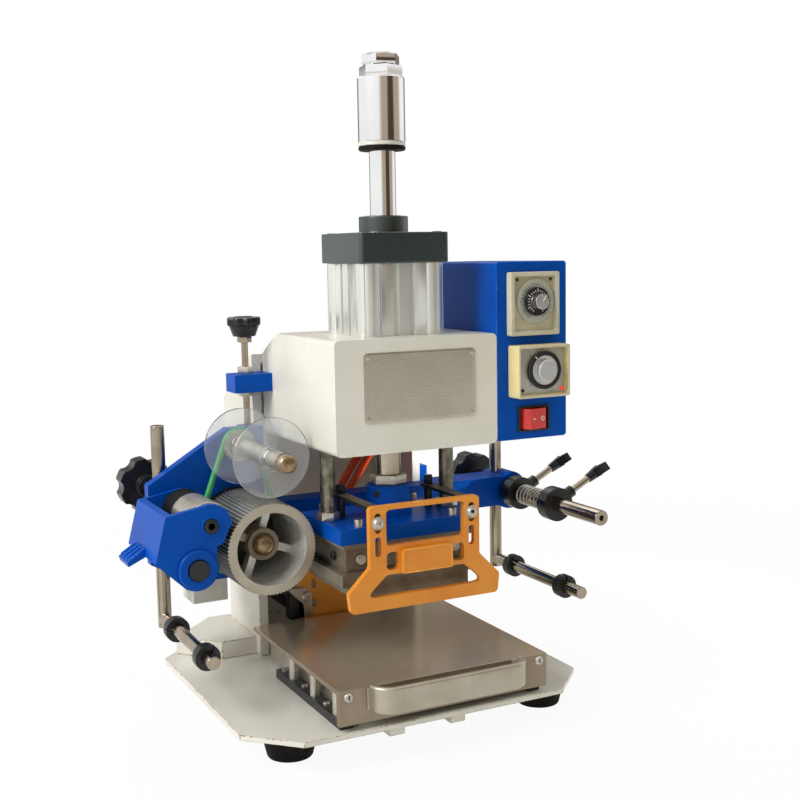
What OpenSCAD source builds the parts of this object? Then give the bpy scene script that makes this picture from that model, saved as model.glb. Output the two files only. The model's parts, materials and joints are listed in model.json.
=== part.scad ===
// Pneumatic hot stamping machine: press frame, air cylinder, heated head, drawer table and foil feed.
// Millimetres. The front faces -Y, right is +X and up is +Z, with the floor at Z = 0.
// Heights are given from a datum 38 mm under the base plate, and the feet reach down to the floor.

/* [Base and feet] */
// Width of the base plate
base_w = 340; // [320:1:380]
// Depth of the base plate
base_d = 327; // [322:1:345]
// Thickness of the base plate
base_t = 5; // [4:0.5:8]
// Front corner cut of the base plate
base_cut = 42; // [20:1:45]
// Rear corner cut of the base plate
rear_cut = 60; // [40:1:62]
// Height of a rubber foot
foot_h = 29; // [20:1:37]
// Top radius of a rubber foot
foot_top_r = 27; // [22:1:29]
// Bottom radius of a rubber foot
foot_low_r = 20; // [15:1:22]
// Centre of a right foot from the side edge of the base
foot_in_x = 30; // [30:1:45]
// Centre of a left foot from the side edge of the base
foot_in_left = 52; // [45:1:58]
// Foot centre from the front or rear edge of the base
foot_in_y = 60; // [50:1:80]

/* [Frame] */
// Width across the column cheeks
column_w = 184; // [176:1:196]
// Thickness of a column cheek
cheek_t = 10; // [8:1:12]
// Depth of the column
column_d = 90; // [80:1:94]
// Thickness of the column's foot
column_foot_t = 18; // [12:1:22]
// Width of the head
head_w = 161; // [158:1:165]
// Height of the head
head_h = 101; // [95:1:110]
// Depth of the head, front to column
head_d = 176; // [170:1:184]
// Underside of the head above the datum
head_z = 269; // [266:1:275]
// Flat part of the head's top, before it slopes to the rear
head_flat = 137; // [130:1:145]
// Fall of the sloping roof for each millimetre to the rear
roof_fall = 0.56; // [0.4:0.02:0.6]
// Corner radius of the head's front
head_r = 5; // [2:0.5:8]

/* [Air cylinder] */
// Distance from the head's front to the press axis
axis_y = 65; // [62:1:68]
// Width of the square end cap
cap_w = 88.5; // [86:0.5:92]
// Height of the end cap
cap_h = 27; // [22:1:32]
// Width of the barrel extrusion
barrel_w = 85.5; // [82:0.5:88]
// Height of the barrel
barrel_h = 65; // [65:1:75]
// Bore radius of the barrel
bore_r = 30; // [28:0.5:31]
// Radius of the cap's boss
boss_r = 22.5; // [20:0.5:26]
// Height of the cap's boss
boss_h = 15; // [10:1:20]
// Radius of the through rod
rod_r = 12; // [10:0.5:13]
// Length of the stroke sleeve
sleeve_h = 61; // [50:1:65]
// Radius of the stroke sleeve
sleeve_r = 21.5; // [18:0.5:24]

/* [Press head] */
// Working stroke
stroke = 52; // [40:1:52]
// Width of the platen
platen_w = 142; // [140:1:146]
// Depth of the platen
platen_d = 94; // [88:1:96]
// Thickness of the platen
platen_t = 14; // [12:1:16]
// Thickness of the insulation plate
insul_t = 5.5; // [4:0.5:7]
// Height of the heater block
heater_h = 21.5; // [20:0.5:24]
// Thickness of the die plate with the narrower holder below it
die_t = 23.5; // [20:0.5:26]
// Underside of the die holder above the datum, press open
die_z = 136.5; // [135:0.5:140]
// Radius of a guide rod
guide_r = 7; // [6:0.5:8]
// Distance of a guide rod from the press axis
guide_x = 62; // [58:1:62]
// Radius of the rod coupling
coupling_r = 21.5; // [18:0.5:23]

/* [Safety guard] */
// Thickness of the guard
guard_t = 6; // [4:0.5:7]
// Half width of the guard's upper part
guard_top_x = 55; // [54:1:57]
// Half width of the guard's flared lower part
guard_low_x = 76; // [70:1:80]
// Height of the guard
guard_h = 93; // [90:1:96]
// Distance of the guard in front of the head's front
guard_out = 9; // [8:1:12]

/* [Worktable] */
// Width of the worktable
table_w = 207; // [200:1:214]
// Depth of the worktable
table_d = 208; // [190:1:212]
// Height of the worktable above the datum
table_z = 79.5; // [78:0.5:81]
// Thickness of the table plate
table_t = 4; // [3:0.5:6]
// Distance of the table's front before the head's front
table_out = 45; // [40:1:46]
// Height of the table's front apron
apron_h = 31; // [28:1:32]
// Thickness of the apron
apron_t = 6; // [5:0.5:8]
// Length of the handle
handle_l = 152; // [120:1:170]
// Depth of the handle
handle_d = 21; // [21:1:30]
// Height of the handle strap
handle_h = 24; // [18:1:26]
// Thickness of the handle strap
handle_t = 6; // [4:0.5:8]

/* [Control box] */
// Width of the control box
box_w = 76; // [72:1:80]
// Height of the control box
box_h = 164; // [160:1:170]
// Distance of the control box's rear before the head's rear
box_short = 26; // [21:1:56]
// Sheet thickness of the control box
box_t = 2; // [1.5:0.5:3]
// Front size of the square temperature controller
temp_h = 48; // [46:1:50]
// Width of the temperature controller
temp_w = 56; // [52:1:58]
// How far the temperature controller stands out
temp_out = 18.5; // [12:0.5:20]
// Width of the timer frame
timer_w = 53; // [48:1:55]
// Height of the timer frame
timer_h = 58; // [56:1:62]

/* [Foil feed] */
// Radius of the knurled feed roller
roller_r = 42; // [41:0.5:42]
// Length of the knurled feed roller
roller_l = 84; // [76:1:86]
// Number of flutes on the feed roller
flutes = 76; // [40:1:80]
// Radius of the pinch roller
pinch_r = 20; // [18:0.5:21]
// Radius of a take-up disc
disc_r = 36; // [32:1:36]
// Distance between the take-up discs
disc_gap = 76; // [60:1:77]
// Belt radius on the drive pulley
drive_pulley_r = 41; // [36:1:41]
// Belt radius on the take-up pulley
take_up_pulley_r = 14; // [12:1:16]
// Radius of the round belt
belt_r = 3; // [2:0.2:3]
// Radius of the foil guide rods
foil_rod_r = 6.5; // [5:0.5:6.5]
// Radius of a split collar
collar_r = 11.5; // [10:0.5:12]
// Radius of a star knob
star_r = 27; // [22:1:29]
// Number of lobes on a star knob
star_lobes = 7; // [6:1:9]
// Radius of the height screw
screw_r = 3.2; // [2.5:0.1:4]

/* [Foil unwind] */
// Radius of the unwind shaft
unwind_r = 7.5; // [6.5:0.5:8]
// Radius of the collars on the unwind shaft
unwind_collar_r = 17; // [15:0.5:18]
// Reach of a T-screw from the unwind axis
t_reach = 62; // [50:1:62]
// Length of a T-screw's wing
t_bar_l = 32; // [26:1:33]
// Curls of the brake spring
spring_curls = 8; // [7:1:10]
// Radius of the brake spring's wire
wire_r = 1.2; // [1:0.1:1.3]

/* [Hidden] */
$fn = 64;

// Clearances: a fit within one body, a running fit, and room between moving pieces
fit = 0.05;
run = 0.08;
room = 0.4;
over = 1;

// Colours
white_paint = "#e9e8e2";
blue_paint = "#2b6db5";
orange_paint = "#f0a01e";
dark_green = "#3f4a48";
black = "#1d1d1f";
steel = "#b9bcc0";
alu = "#c9cccf";

// Heights of the stack, from the datum up
base_z = 38;
base_top = base_z + base_t;
table_low = table_z - table_t;
heater_z = die_z + die_t;
insul_z = heater_z + heater_h;
platen_z = insul_z + insul_t;
platen_top = platen_z + platen_t;
head_top = head_z + head_h;
cap_z = head_top + barrel_h;
boss_z = cap_z + cap_h;
boss_top = boss_z + boss_h;
coupling_h = 28;
coupling_top = platen_top + coupling_h;
rod_nut_h = 10;
bumper_h = 4;
bumper_clear = 7;
bumper_z = boss_top + stroke + bumper_clear;
sleeve_z = bumper_z + bumper_h;
sleeve_top = sleeve_z + sleeve_h;
low_nut_h = 10.3;
top_nut_h = 10.9;
top_nut_z = sleeve_top + low_nut_h;
top_z = top_nut_z + top_nut_h;

// Plan positions
base_mid_x = -8;
base_y = -table_out - 2;
column_y = head_d;
column_in = 14;
column_back = min(column_y + column_d, base_y + base_d - column_in);
half_head = head_w / 2;
half_col = column_w / 2;
arm_t = 12;
arm_lap = 26;
arm_y = column_y - arm_lap;
arm_back = arm_y + arm_t;
foil_rod_y = arm_y + 22;
clamp_back = arm_y + 36;
roller_front = arm_y - 12 - roller_l;
pulley_y = arm_y - 11;
pulley_t = 8;
belt_y = pulley_y + pulley_t / 2;

// Axes of the foil feed, in X and Z
roller_ax = [-121.5, 183];
take_up_ax = [-119.5, 265.5];
pivot_ax = [-190.6, 173.7];
pinch_dir = 153.6;
pinch_ax = roller_ax + (roller_r + pinch_r + room) * [cos(pinch_dir), sin(pinch_dir)];
unwind_ax = [187, 189];
left_rod_x = -189.3;
right_rod_x = 182;
left_clamp_z = 221;
right_clamp_z = 193;
screw_at = [-103, arm_y + 13];
t_angle = 28;
t_turn = 67;
t_bar_r = 4;
wing_t = 9;
unwind_tip = -15;

// Half extents in plan, which put the origin under the middle of the machine
lever_tip = -243;
reach_right = unwind_ax[0] + (t_reach + t_bar_r) * cos(t_angle)
    + (t_bar_l / 2 * cos(t_turn) + wing_t / 2 * sin(t_turn)) * sin(t_angle);
mid_x = (lever_tip + reach_right) / 2;
mid_y = (base_y + base_d - table_out - handle_d) / 2;

// A box between two corners
module box(a, b) {
    translate(a) cube(b - a);
}

// A round bar along Y through the point p = [x, z]
module bar_y(p, y0, y1, r) {
    translate([p[0], y0, p[1]]) rotate([-90, 0, 0]) cylinder(h = y1 - y0, r = r);
}

// A round bar along Z through the point p = [x, y]
module bar_z(p, z0, z1, r) {
    translate([p[0], p[1], z0]) cylinder(h = z1 - z0, r = r);
}

// A front profile in X and Z, drawn out from y0 back to y1
module front(y0, y1) {
    translate([0, y1, 0]) rotate([90, 0, 0]) linear_extrude(y1 - y0) children();
}

// A side profile in Y and Z, drawn out from x0 to x1
module side(x0, x1) {
    translate([x0, 0, 0]) rotate([90, 0, 90]) linear_extrude(x1 - x0) children();
}

// A rectangle with round corners, centred
module round_rect(w, h, r) {
    square([w - 2 * r, h], center = true);
    square([w, h - 2 * r], center = true);
    for (x = [-1, 1], y = [-1, 1])
        translate([x * (w / 2 - r), y * (h / 2 - r)]) circle(r);
}

// A slot with round ends between two points on one vertical line
module slot(x, z0, z1, r) {
    translate([x, z0]) circle(r);
    translate([x, z1]) circle(r);
    translate([x - r, z0]) square([2 * r, z1 - z0]);
}

// A hexagonal nut on the Z axis through p = [x, y]
module hex_nut(p, z, h, r, hole) {
    translate([p[0], p[1], z]) difference() {
        cylinder(h = h, r = r, $fn = 6);
        translate([0, 0, -over]) cylinder(h = h + 2 * over, r = hole);
    }
}

// A disc with finger lobes round its rim, as a flat outline
module lobed(r, lobes, lobe_r) {
    circle(r - lobe_r);
    for (i = [0 : lobes - 1]) rotate(i * 360 / lobes) translate([r - lobe_r, 0]) circle(lobe_r);
}

// A disc with shallow valleys round its rim, as a flat outline
module scalloped(r, lobes, valley_r, depth) {
    difference() {
        circle(r);
        for (i = [0 : lobes - 1])
            rotate((i + 0.5) * 360 / lobes) translate([r + valley_r - depth, 0]) circle(valley_r);
    }
}

// Points of a smooth curve through the route's points, with n steps to each stretch
function knot(p, i) = p[max(0, min(len(p) - 1, i))];
function curve_at(p, i, t) = 0.5 * (2 * knot(p, i) + (knot(p, i + 1) - knot(p, i - 1)) * t
    + (2 * knot(p, i - 1) - 5 * knot(p, i) + 4 * knot(p, i + 1) - knot(p, i + 2)) * t * t
    + (3 * knot(p, i) - knot(p, i - 1) - 3 * knot(p, i + 1) + knot(p, i + 2)) * t * t * t);
function smooth(p, n) = [for (i = [0 : len(p) - 2], k = [0 : n - 1]) curve_at(p, i, k / n), p[len(p) - 1]];
function unit(v) = v / norm(v);
function along(p, i, ends) = i == 0 ? ends[0] : i == len(p) - 1 ? ends[1] : unit(p[i + 1] - p[i - 1]);
function ring(p, i, r, n, ref, ends) =
    let (t = along(p, i, ends), a = unit(cross(ref, t)), b = cross(t, a))
    [for (k = [0 : n - 1]) p[i] + r * (cos(k * 360 / n) * a + sin(k * 360 / n) * b)];

// A round tube swept along points, kept square to a reference direction, its end faces square to two ways
module swept(p, r, n, ref, ends) {
    m = len(p);
    points = [for (i = [0 : m - 1]) each ring(p, i, r, n, ref, ends)];
    walls = [for (i = [0 : m - 2], k = [0 : n - 1]) each
        let (a = i * n + k, b = i * n + (k + 1) % n, c = a + n, d = b + n) [[a, c, b], [b, c, d]]];
    first = [for (k = [1 : n - 2]) [0, k, k + 1]];
    last = [for (k = [1 : n - 2]) [(m - 1) * n, (m - 1) * n + k + 1, (m - 1) * n + k]];
    polyhedron(points, concat(walls, first, last));
}

// Frame, cylinder and control box

// Base plate with cut corners and two stiffening bars below
bar_w = 15;
bar_h = 7;
bar_in = 3;
bar_xs = [-49, 11];
module base_plate() {
    color(white_paint) {
        translate([base_mid_x, base_y + base_d / 2, base_z]) linear_extrude(base_t) difference() {
            square([base_w, base_d], center = true);
            for (x = [-1, 1], y = [-1, 1])
                translate([x * base_w / 2, y * base_d / 2]) rotate(45)
                    square((y < 0 ? base_cut : rear_cut) * sqrt(2), center = true);
        }
        for (x = bar_xs)
            box([x - bar_w / 2, base_y + bar_in, base_z - bar_h],
                [x + bar_w / 2, base_y + base_d - bar_in, base_z]);
    }
}

// Four tapered rubber feet
module rubber_feet() {
    color(black) for (x = [-1, 1], y = [0, 1])
        translate([base_mid_x + x * (base_w / 2 - (x < 0 ? foot_in_left : foot_in_x)),
            base_y + (y == 0 ? foot_in_y : base_d - foot_in_y), base_z - foot_h])
            cylinder(h = foot_h, r1 = foot_low_r, r2 = foot_top_r);
}

// Column: two cheeks, a rear wall, a sloping roof and a broad foot
function roof_z(y) = head_top - (y - head_flat) * roof_fall;
wall_t = 10;
foot_front = column_y + 11;
foot_half = 156;
foot_slant = 36;
foot_side = 0.44;
foot_in = 4;
module frame_column() {
    foot_back = base_y + base_d - foot_in;
    foot_mid = foot_front + (foot_back - foot_front) * foot_side;
    color(white_paint) {
        for (s = [-1, 1])
            side(s > 0 ? half_col - cheek_t : -half_col, s > 0 ? half_col : cheek_t - half_col)
                polygon([[column_y, base_top], [column_back, base_top],
                    [column_back, roof_z(column_back)], [column_y, roof_z(column_y)]]);
        box([cheek_t - half_col, column_back - wall_t, base_top],
            [half_col - cheek_t, column_back, roof_z(column_back)]);
        side(cheek_t - half_col, half_col - cheek_t)
            polygon([[column_y, roof_z(column_y)], [column_y, roof_z(column_y) - wall_t],
                [column_back - wall_t, roof_z(column_back - wall_t) - wall_t],
                [column_back - wall_t, roof_z(column_back)], [column_back, roof_z(column_back)]]);
        translate([base_mid_x, 0, base_top]) linear_extrude(column_foot_t)
            for (s = [-1, 1])
                polygon([[0, foot_front], [s * (foot_half - foot_slant), foot_front],
                    [s * foot_half, foot_mid], [s * (foot_half + foot_mid - foot_back), foot_back],
                    [0, foot_back]]);
    }
}

// Head: a box with round front corners and a sloping rear top, bored for the rod and the bushes
bush_wall = 4;
bush_l = 40;
guide_roof = 10;
module head_housing() {
    color(white_paint) difference() {
        translate([0, 0, head_z + head_h / 2]) front(0, head_d) round_rect(head_w, head_h, head_r);
        side(-half_head - over, half_head + over)
            polygon([[head_flat, head_top], [head_d + over, roof_z(head_d + over)],
                [head_d + over, head_top + over], [head_flat, head_top + over]]);
        bar_z([0, axis_y], head_z - over, head_top + over, rod_r + room);
        for (s = [-1, 1]) {
            bar_z([s * guide_x, axis_y], head_z - over, head_z + bush_l, guide_r + bush_wall + fit);
            bar_z([s * guide_x, axis_y], head_z, head_top - guide_roof, guide_r + room);
        }
    }
}

// Plain plate on the head's front
plate_w = 111;
plate_h = 62;
plate_t = 1;
plate_r = 6;
plate_mid = [2, 327];
module nameplate() {
    color(alu) translate([plate_mid[0], 0, plate_mid[1]]) front(-plate_t, 0)
        round_rect(plate_w, plate_h, plate_r);
}

// Barrel extrusion: round corner columns, set-in faces and long grooves
barrel_col_r = 12;
barrel_set = 3;
groove_w = 5;
groove_d = 2.5;
groove_x = 8;
module cylinder_barrel() {
    half = barrel_w / 2;
    color(alu) translate([0, axis_y, head_top]) linear_extrude(barrel_h) difference() {
        union() {
            square(barrel_w - 2 * barrel_set, center = true);
            for (x = [-1, 1], y = [-1, 1])
                translate([x, y] * (half - barrel_col_r)) circle(barrel_col_r);
        }
        for (a = [0 : 90 : 270], g = [-1, 1]) rotate(a)
            translate([g * groove_x - groove_w / 2, half - barrel_set - groove_d])
                square([groove_w, groove_d + over]);
        circle(bore_r);
    }
}

// Upper end cap with its boss, bored for the through rod
cap_r = 4;
module cylinder_cap() {
    color(dark_green) translate([0, axis_y, 0]) difference() {
        union() {
            translate([0, 0, cap_z]) linear_extrude(cap_h) round_rect(cap_w, cap_w, cap_r);
            translate([0, 0, boss_z]) cylinder(h = boss_h, r = boss_r);
        }
        translate([0, 0, cap_z - over]) cylinder(h = cap_h + boss_h + 2 * over, r = rod_r + room);
    }
}

// Bronze bushes that the guide rods run in
module guide_bushes() {
    color("#b08d57") for (s = [-1, 1]) translate([s * guide_x, axis_y, head_z]) difference() {
        cylinder(h = bush_l, r = guide_r + bush_wall);
        translate([0, 0, -over]) cylinder(h = bush_l + 2 * over, r = guide_r + run);
    }
}

// Two air tubes from the head's underside to the column's rear wall
tube_r = 4;
tube_gap = 9.4;
tube_steps = 4;
tube_sides = 10;
// Points of their way: across, back as a share of the column's recess, down from the head, and how far apart
recess = column_back - wall_t - column_y;
tube_x = [38, 35, 26.5, 15, 4, -5, -9, -10];
tube_share = [-0.1, -0.02, 0.1, 0.18, 0.29, 0.5, 0.78, 1];
tube_drop = [0, 19, 38, 60, 80, 97, 107, 110];
tube_apart = [3, 3, 3, 3, 3, 2, 0.8, 0];
tube_ends = [[0, 0, -1], [0, 1, 0]];
module air_tubes() {
    color("#e8691c") for (k = [-1, 1])
        swept(smooth([for (i = [0 : len(tube_x) - 1])
            [tube_x[i] + k * tube_gap / 2, column_y + tube_share[i] * recess - k * tube_apart[i],
                head_z - tube_drop[i]]], tube_steps), tube_r, tube_sides, [1, 0, 0], tube_ends);
}

// Control box: a folded sheet shell, open at the rear
box_x = half_head;
box_d = head_d - box_short;
box_z = head_z + 1;
box_top = box_z + box_h;
box_mid = box_x + box_w / 2;
switch_at = [box_x + 39, box_z + 19];
switch_w = 35;
switch_h = 24;
rocker_w = 29;
rocker_h = 19;
cut_w = rocker_w + 4;
cut_h = rocker_h + 2;
box_r = 3;
module control_box() {
    color(blue_paint) difference() {
        translate([box_mid, 0, box_z + box_h / 2]) front(0, box_d) round_rect(box_w, box_h, box_r);
        box([box_x + box_t, box_t, box_z + box_t], [box_x + box_w - box_t, box_d + over, box_top - box_t]);
        translate([switch_at[0], 0, switch_at[1]]) front(-over, box_t + over)
            square([cut_w, cut_h], center = true);
    }
}

// Rear cover of the control box with its power inlet
inlet_w = 28;
inlet_h = 48;
inlet_up = 40;
inlet_out = 3;
inlet_rim = 3;
inlet_ear = 10;
module control_box_back() {
    cover_y = box_d + box_t;
    color(blue_paint) difference() {
        union() {
            translate([box_mid, 0, box_z + box_h / 2]) front(box_d, cover_y) round_rect(box_w, box_h, box_r);
            translate([box_mid, 0, box_z + inlet_up]) front(box_d, cover_y + inlet_out)
                round_rect(inlet_w, inlet_h, box_r);
        }
        translate([box_mid, 0, box_z + inlet_up]) front(cover_y, cover_y + inlet_out + over)
            round_rect(inlet_w - 2 * inlet_rim, inlet_h - 2 * inlet_ear, box_r);
    }
}

// Timer: a frame with a sunk face
timer_in = [37, 125.5];
timer_at = [box_x, box_z] + timer_in;
timer_out = 8;
timer_sink = 3;
timer_face_w = 44;
timer_face_h = 50;
panel_r = 2;
timer_dial_at = timer_at + [1, 2];
module timer_unit() {
    color("#b5ab86") translate([timer_at[0], 0, timer_at[1]]) difference() {
        front(-timer_out, 0) round_rect(timer_w, timer_h, panel_r);
        front(-timer_out - over, timer_sink - timer_out) round_rect(timer_face_w, timer_face_h, panel_r);
    }
}

// Temperature controller housing, which stands out of the panel, with a sunk face
temp_in = [40, 64];
temp_at = [box_x, box_z] + temp_in;
temp_sink = 5;
temp_rim = 2.5;
module temperature_unit() {
    color("#d9d3c0") translate([temp_at[0], 0, temp_at[1]]) difference() {
        front(-temp_out, 0) round_rect(temp_w, temp_h, panel_r);
        front(-temp_out - over, temp_sink - temp_out)
            round_rect(temp_w - 2 * temp_rim, temp_h - 2 * temp_rim, panel_r);
    }
}

// Frame round the power rocker
bezel_t = 2;
module switch_bezel() {
    color(black) translate([switch_at[0], 0, switch_at[1]]) difference() {
        front(-bezel_t, 0) round_rect(switch_w, switch_h, panel_r);
        front(-bezel_t - over, over) square([rocker_w + 2 * room, rocker_h + 2 * room], center = true);
    }
}

// Slide rails of the worktable, on the base, with the studs that the table runs on
rail_w = 12;
rail_x = 88;
rail_h = 8;
rail_gap = 1;
rail_l = 150;
bearing_r = 4.5;
bearing_ys = [-20, 30, 80];
module slide_rails() {
    rail_y = apron_t + rail_gap - table_out;
    color(black) for (s = [-1, 1]) {
        box([s > 0 ? rail_x : -rail_x - rail_w, rail_y, base_top],
            [s > 0 ? rail_x + rail_w : -rail_x, rail_y + rail_l, base_top + rail_h]);
        for (y = bearing_ys)
            bar_z([s * (rail_x + rail_w / 2), y], base_top + rail_h - over, table_low - run, bearing_r);
    }
}

// Sheet behind the table with a sloping top, on a bracket, a block and a strut from the column's wall
rear_clear = 7;
rear_y = table_d - table_out + rear_clear;
rear_t = 2;
rear_low = 76;
rear_x = [-52, 26];
rear_top = 135;
rear_hole_x = -35;
rear_holes = [[109.5, 114], [89.5, 94]];
rear_hole_r = 2.4;
bracket_outline = [[-62, 110], [-47, 110], [-38.5, 104], [-38.5, 79], [-46, 79], [-47, 92], [-62, 107]];
rear_block = [[-61, 77], [-45, 104]];
rear_block_t = 12;
rear_strut = [[-58, 84], [-48, 96]];
module rear_guard() {
    sheet_back = rear_y + rear_t;
    block_back = sheet_back + rear_block_t;
    color(orange_paint) front(rear_y, sheet_back) difference() {
        polygon([[rear_x[0], rear_low], [rear_x[0], rear_top], [rear_x[1], rear_low]]);
        for (z = rear_holes) slot(rear_hole_x, z[0], z[1], rear_hole_r);
    }
    color(steel) front(rear_y - rear_t, rear_y) polygon(bracket_outline);
    color(black) {
        box([rear_block[0][0], rear_y, rear_block[0][1]], [rear_block[1][0], block_back, rear_block[1][1]]);
        box([rear_strut[0][0], block_back, rear_strut[0][1]],
            [rear_strut[1][0], column_back - wall_t, rear_strut[1][1]]);
    }
}

// Block on the head's side that the height screw runs in
block_w = 38;
block_z = [313.5, 331];
module height_block() {
    color(blue_paint) difference() {
        box([-half_head - block_w, arm_y, block_z[0]], [-half_head, column_y, block_z[1]]);
        bar_z(screw_at, block_z[0] - over, block_z[1] + over, screw_r + room);
    }
}

// Right arm: a bar across the column's front and past it, with a round end that carries the unwind shaft
arm_bar_h = 31;
boss_out_r = 20;
clamp_hole_r = 4;
journal_l = 10;
flange_plate_t = 8;
flange_back = column_back - 12;
module right_arm() {
    mid = unwind_ax[1];
    color(blue_paint) difference() {
        union() {
            box([-half_col, arm_y, mid - arm_bar_h / 2], [half_col, column_y, mid + arm_bar_h / 2]);
            box([half_col, arm_y, mid - arm_bar_h / 2], [unwind_ax[0], clamp_back, mid + arm_bar_h / 2]);
            bar_y(unwind_ax, arm_y, clamp_back, boss_out_r);
            box([half_col, column_y, mid - arm_bar_h],
                [half_col + flange_plate_t, flange_back, mid + arm_bar_h]);
        }
        bar_y(unwind_ax, arm_y - over, arm_y + journal_l, unwind_r + run);
        bar_z([right_rod_x, foil_rod_y], mid - 2 * boss_out_r, mid + 2 * boss_out_r, foil_rod_r + run);
        bar_y([right_rod_x, right_clamp_z], foil_rod_y, clamp_back + over, clamp_hole_r + run);
    }
}

// Pressing group, which rides on the cylinder's rod

// Through rod with the piston on it
piston_h = 8;
piston_down = 2;
rod_end_in = 1.5;
rod_low = platen_top + 8;
module piston_rod() {
    color(steel) translate([0, axis_y, 0]) {
        translate([0, 0, rod_low]) cylinder(h = top_z - rod_end_in - rod_low, r = rod_r);
        translate([0, 0, cap_z - piston_down - piston_h]) cylinder(h = piston_h, r = bore_r - room);
    }
}

// Sleeve that sets the stroke
module stroke_sleeve() {
    color(steel) translate([0, axis_y, sleeve_z]) difference() {
        cylinder(h = sleeve_h, r = sleeve_r);
        translate([0, 0, -over]) cylinder(h = sleeve_h + 2 * over, r = rod_r + fit);
    }
}

// Rubber ring below the sleeve
module stroke_bumper() {
    color(black) translate([0, axis_y, bumper_z]) difference() {
        cylinder(h = bumper_h, r = sleeve_r);
        translate([0, 0, -over]) cylinder(h = bumper_h + 2 * over, r = rod_r + fit);
    }
}

// Nuts that lock the sleeve
low_nut_r = sleeve_r - 1.5;
top_nut_r = sleeve_r - 3.5;
module stroke_nuts() {
    color(steel) {
        hex_nut([0, axis_y], sleeve_top, low_nut_h, low_nut_r, rod_r + fit);
        hex_nut([0, axis_y], top_nut_z, top_nut_h, top_nut_r, rod_r + fit);
    }
}

// Lock nut of the rod and the two nuts of the guide rods
guide_nut_h = 8;
guide_nut_r = guide_r + 2;
rod_nut_r = rod_r + 5.5;
module press_nuts() {
    color(steel) {
        hex_nut([0, axis_y], coupling_top, rod_nut_h, rod_nut_r, rod_r + fit);
        for (s = [-1, 1])
            hex_nut([s * guide_x, axis_y], platen_top, guide_nut_h, guide_nut_r, guide_r + fit);
    }
}

// Round coupling between the rod and the platen
module rod_coupling() {
    color(blue_paint) translate([0, axis_y, platen_top]) difference() {
        cylinder(h = coupling_h, r = coupling_r);
        translate([0, 0, rod_low - platen_top]) cylinder(h = coupling_h, r = rod_r + fit);
    }
}

// A plate of the pressing stack, centred on the press axis
module stack_plate(w, d, z, h) {
    box([-w / 2, axis_y - d / 2, z], [w / 2, axis_y + d / 2, z + h]);
}

module platen() {
    color(blue_paint) difference() {
        stack_plate(platen_w, platen_d, platen_z, platen_t);
        for (s = [-1, 1]) bar_z([s * guide_x, axis_y], platen_z - over, platen_top + over, guide_r + fit);
    }
}

insul_in = 5;
module insulation_plate() {
    color("#8d7f6a") stack_plate(platen_w - 2 * insul_in, platen_d - 2 * insul_in, insul_z, insul_t);
}

// Heater block, bored for two cartridges from the front
cartridge_r = 5;
cartridge_x = 48;
cartridge_end = 10;
heater_in = 8;
module heater_block() {
    d = platen_d - 2 * heater_in;
    color(alu) difference() {
        stack_plate(platen_w - 2 * heater_in, d, heater_z, heater_h);
        for (s = [-1, 1])
            bar_y([s * cartridge_x, heater_z + heater_h / 2], axis_y - d / 2 - over,
                axis_y + d / 2 - cartridge_end, cartridge_r);
    }
}

// Die plate with a narrower holder below it
die_in = 1;
holder_w = 117;
holder_h = 12;
module die_plate() {
    color(alu) {
        stack_plate(holder_w, platen_d, die_z, holder_h);
        stack_plate(platen_w - 2 * die_in, platen_d, die_z + holder_h, die_t - holder_h);
    }
}

// Two rods that keep the platen square
guide_top = head_top - 20;
module guide_rods() {
    color(steel) for (s = [-1, 1]) bar_z([s * guide_x, axis_y], platen_z, guide_top, guide_r);
}

// Arms that carry the guard: a round post on the platen, a strip forward and a tab down
guard_y = -guard_out;
guard_top = platen_top + 24;
guard_arm_x = 46;
guard_arm_w = 11;
post_y = 72;
post_r = 4;
strip_z = guard_top - 5;
strip_t = 3;
tab_h = 18;
module guard_arms() {
    color(steel) for (s = [-1, 1]) translate([s * guard_arm_x - guard_arm_w / 2, 0, 0]) {
        bar_z([guard_arm_w / 2, post_y], platen_top, strip_z, post_r);
        box([0, guard_y + guard_t, strip_z], [guard_arm_w, post_y + guard_arm_w / 2, strip_z + strip_t]);
        box([0, guard_y + guard_t, strip_z - tab_h],
            [guard_arm_w, guard_y + guard_t + strip_t, strip_z + strip_t]);
    }
}

// Guard: waisted outline with two windows, a band with a plain pad between them, and side slots
guard_low = guard_top - guard_h;
guard_waist = guard_top - 54;
guard_flare = guard_top - 75;
guard_taper = 2;
upper_win = [guard_top - 36, guard_top - 4];
lower_win = [guard_low + 12, guard_top - 62];
lower_rim = 15;
band_win_x = [27, 39];
band_win_z = [guard_top - 58, guard_top - 42];
pad_w = 50;
pad_z = [guard_top - 62, guard_top - 40];
pad_out = 4;
guard_slots = [[guard_top - 21, guard_top - 9], [guard_top - 42, guard_top - 30]];
guard_slot_r = 3;
module safety_guard() {
    win_x = guard_top_x - 16;
    slot_x = guard_top_x - 8;
    color(orange_paint) front(guard_y - pad_out, guard_y + over)
        translate([-pad_w / 2, pad_z[0]]) square([pad_w, pad_z[1] - pad_z[0]]);
    color(orange_paint) front(guard_y, guard_y + guard_t) difference() {
        polygon([[-guard_top_x, guard_top], [guard_top_x, guard_top], [guard_top_x, guard_waist],
            [guard_low_x, guard_flare], [guard_low_x - guard_taper, guard_low],
            [guard_taper - guard_low_x, guard_low],
            [-guard_low_x, guard_flare], [-guard_top_x, guard_waist]]);
        translate([-win_x, upper_win[0]]) square([2 * win_x, upper_win[1] - upper_win[0]]);
        polygon([[-win_x, lower_win[1]], [win_x, lower_win[1]], [guard_low_x - lower_rim, lower_win[0]],
            [lower_rim - guard_low_x, lower_win[0]]]);
        for (s = [-1, 1]) {
            translate([s > 0 ? band_win_x[0] : -band_win_x[1], band_win_z[0]])
                square([band_win_x[1] - band_win_x[0], band_win_z[1] - band_win_z[0]]);
            for (z = guard_slots) slot(s * slot_x, z[0], z[1], guard_slot_r);
        }
    }
}

// Worktable drawer

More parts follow.
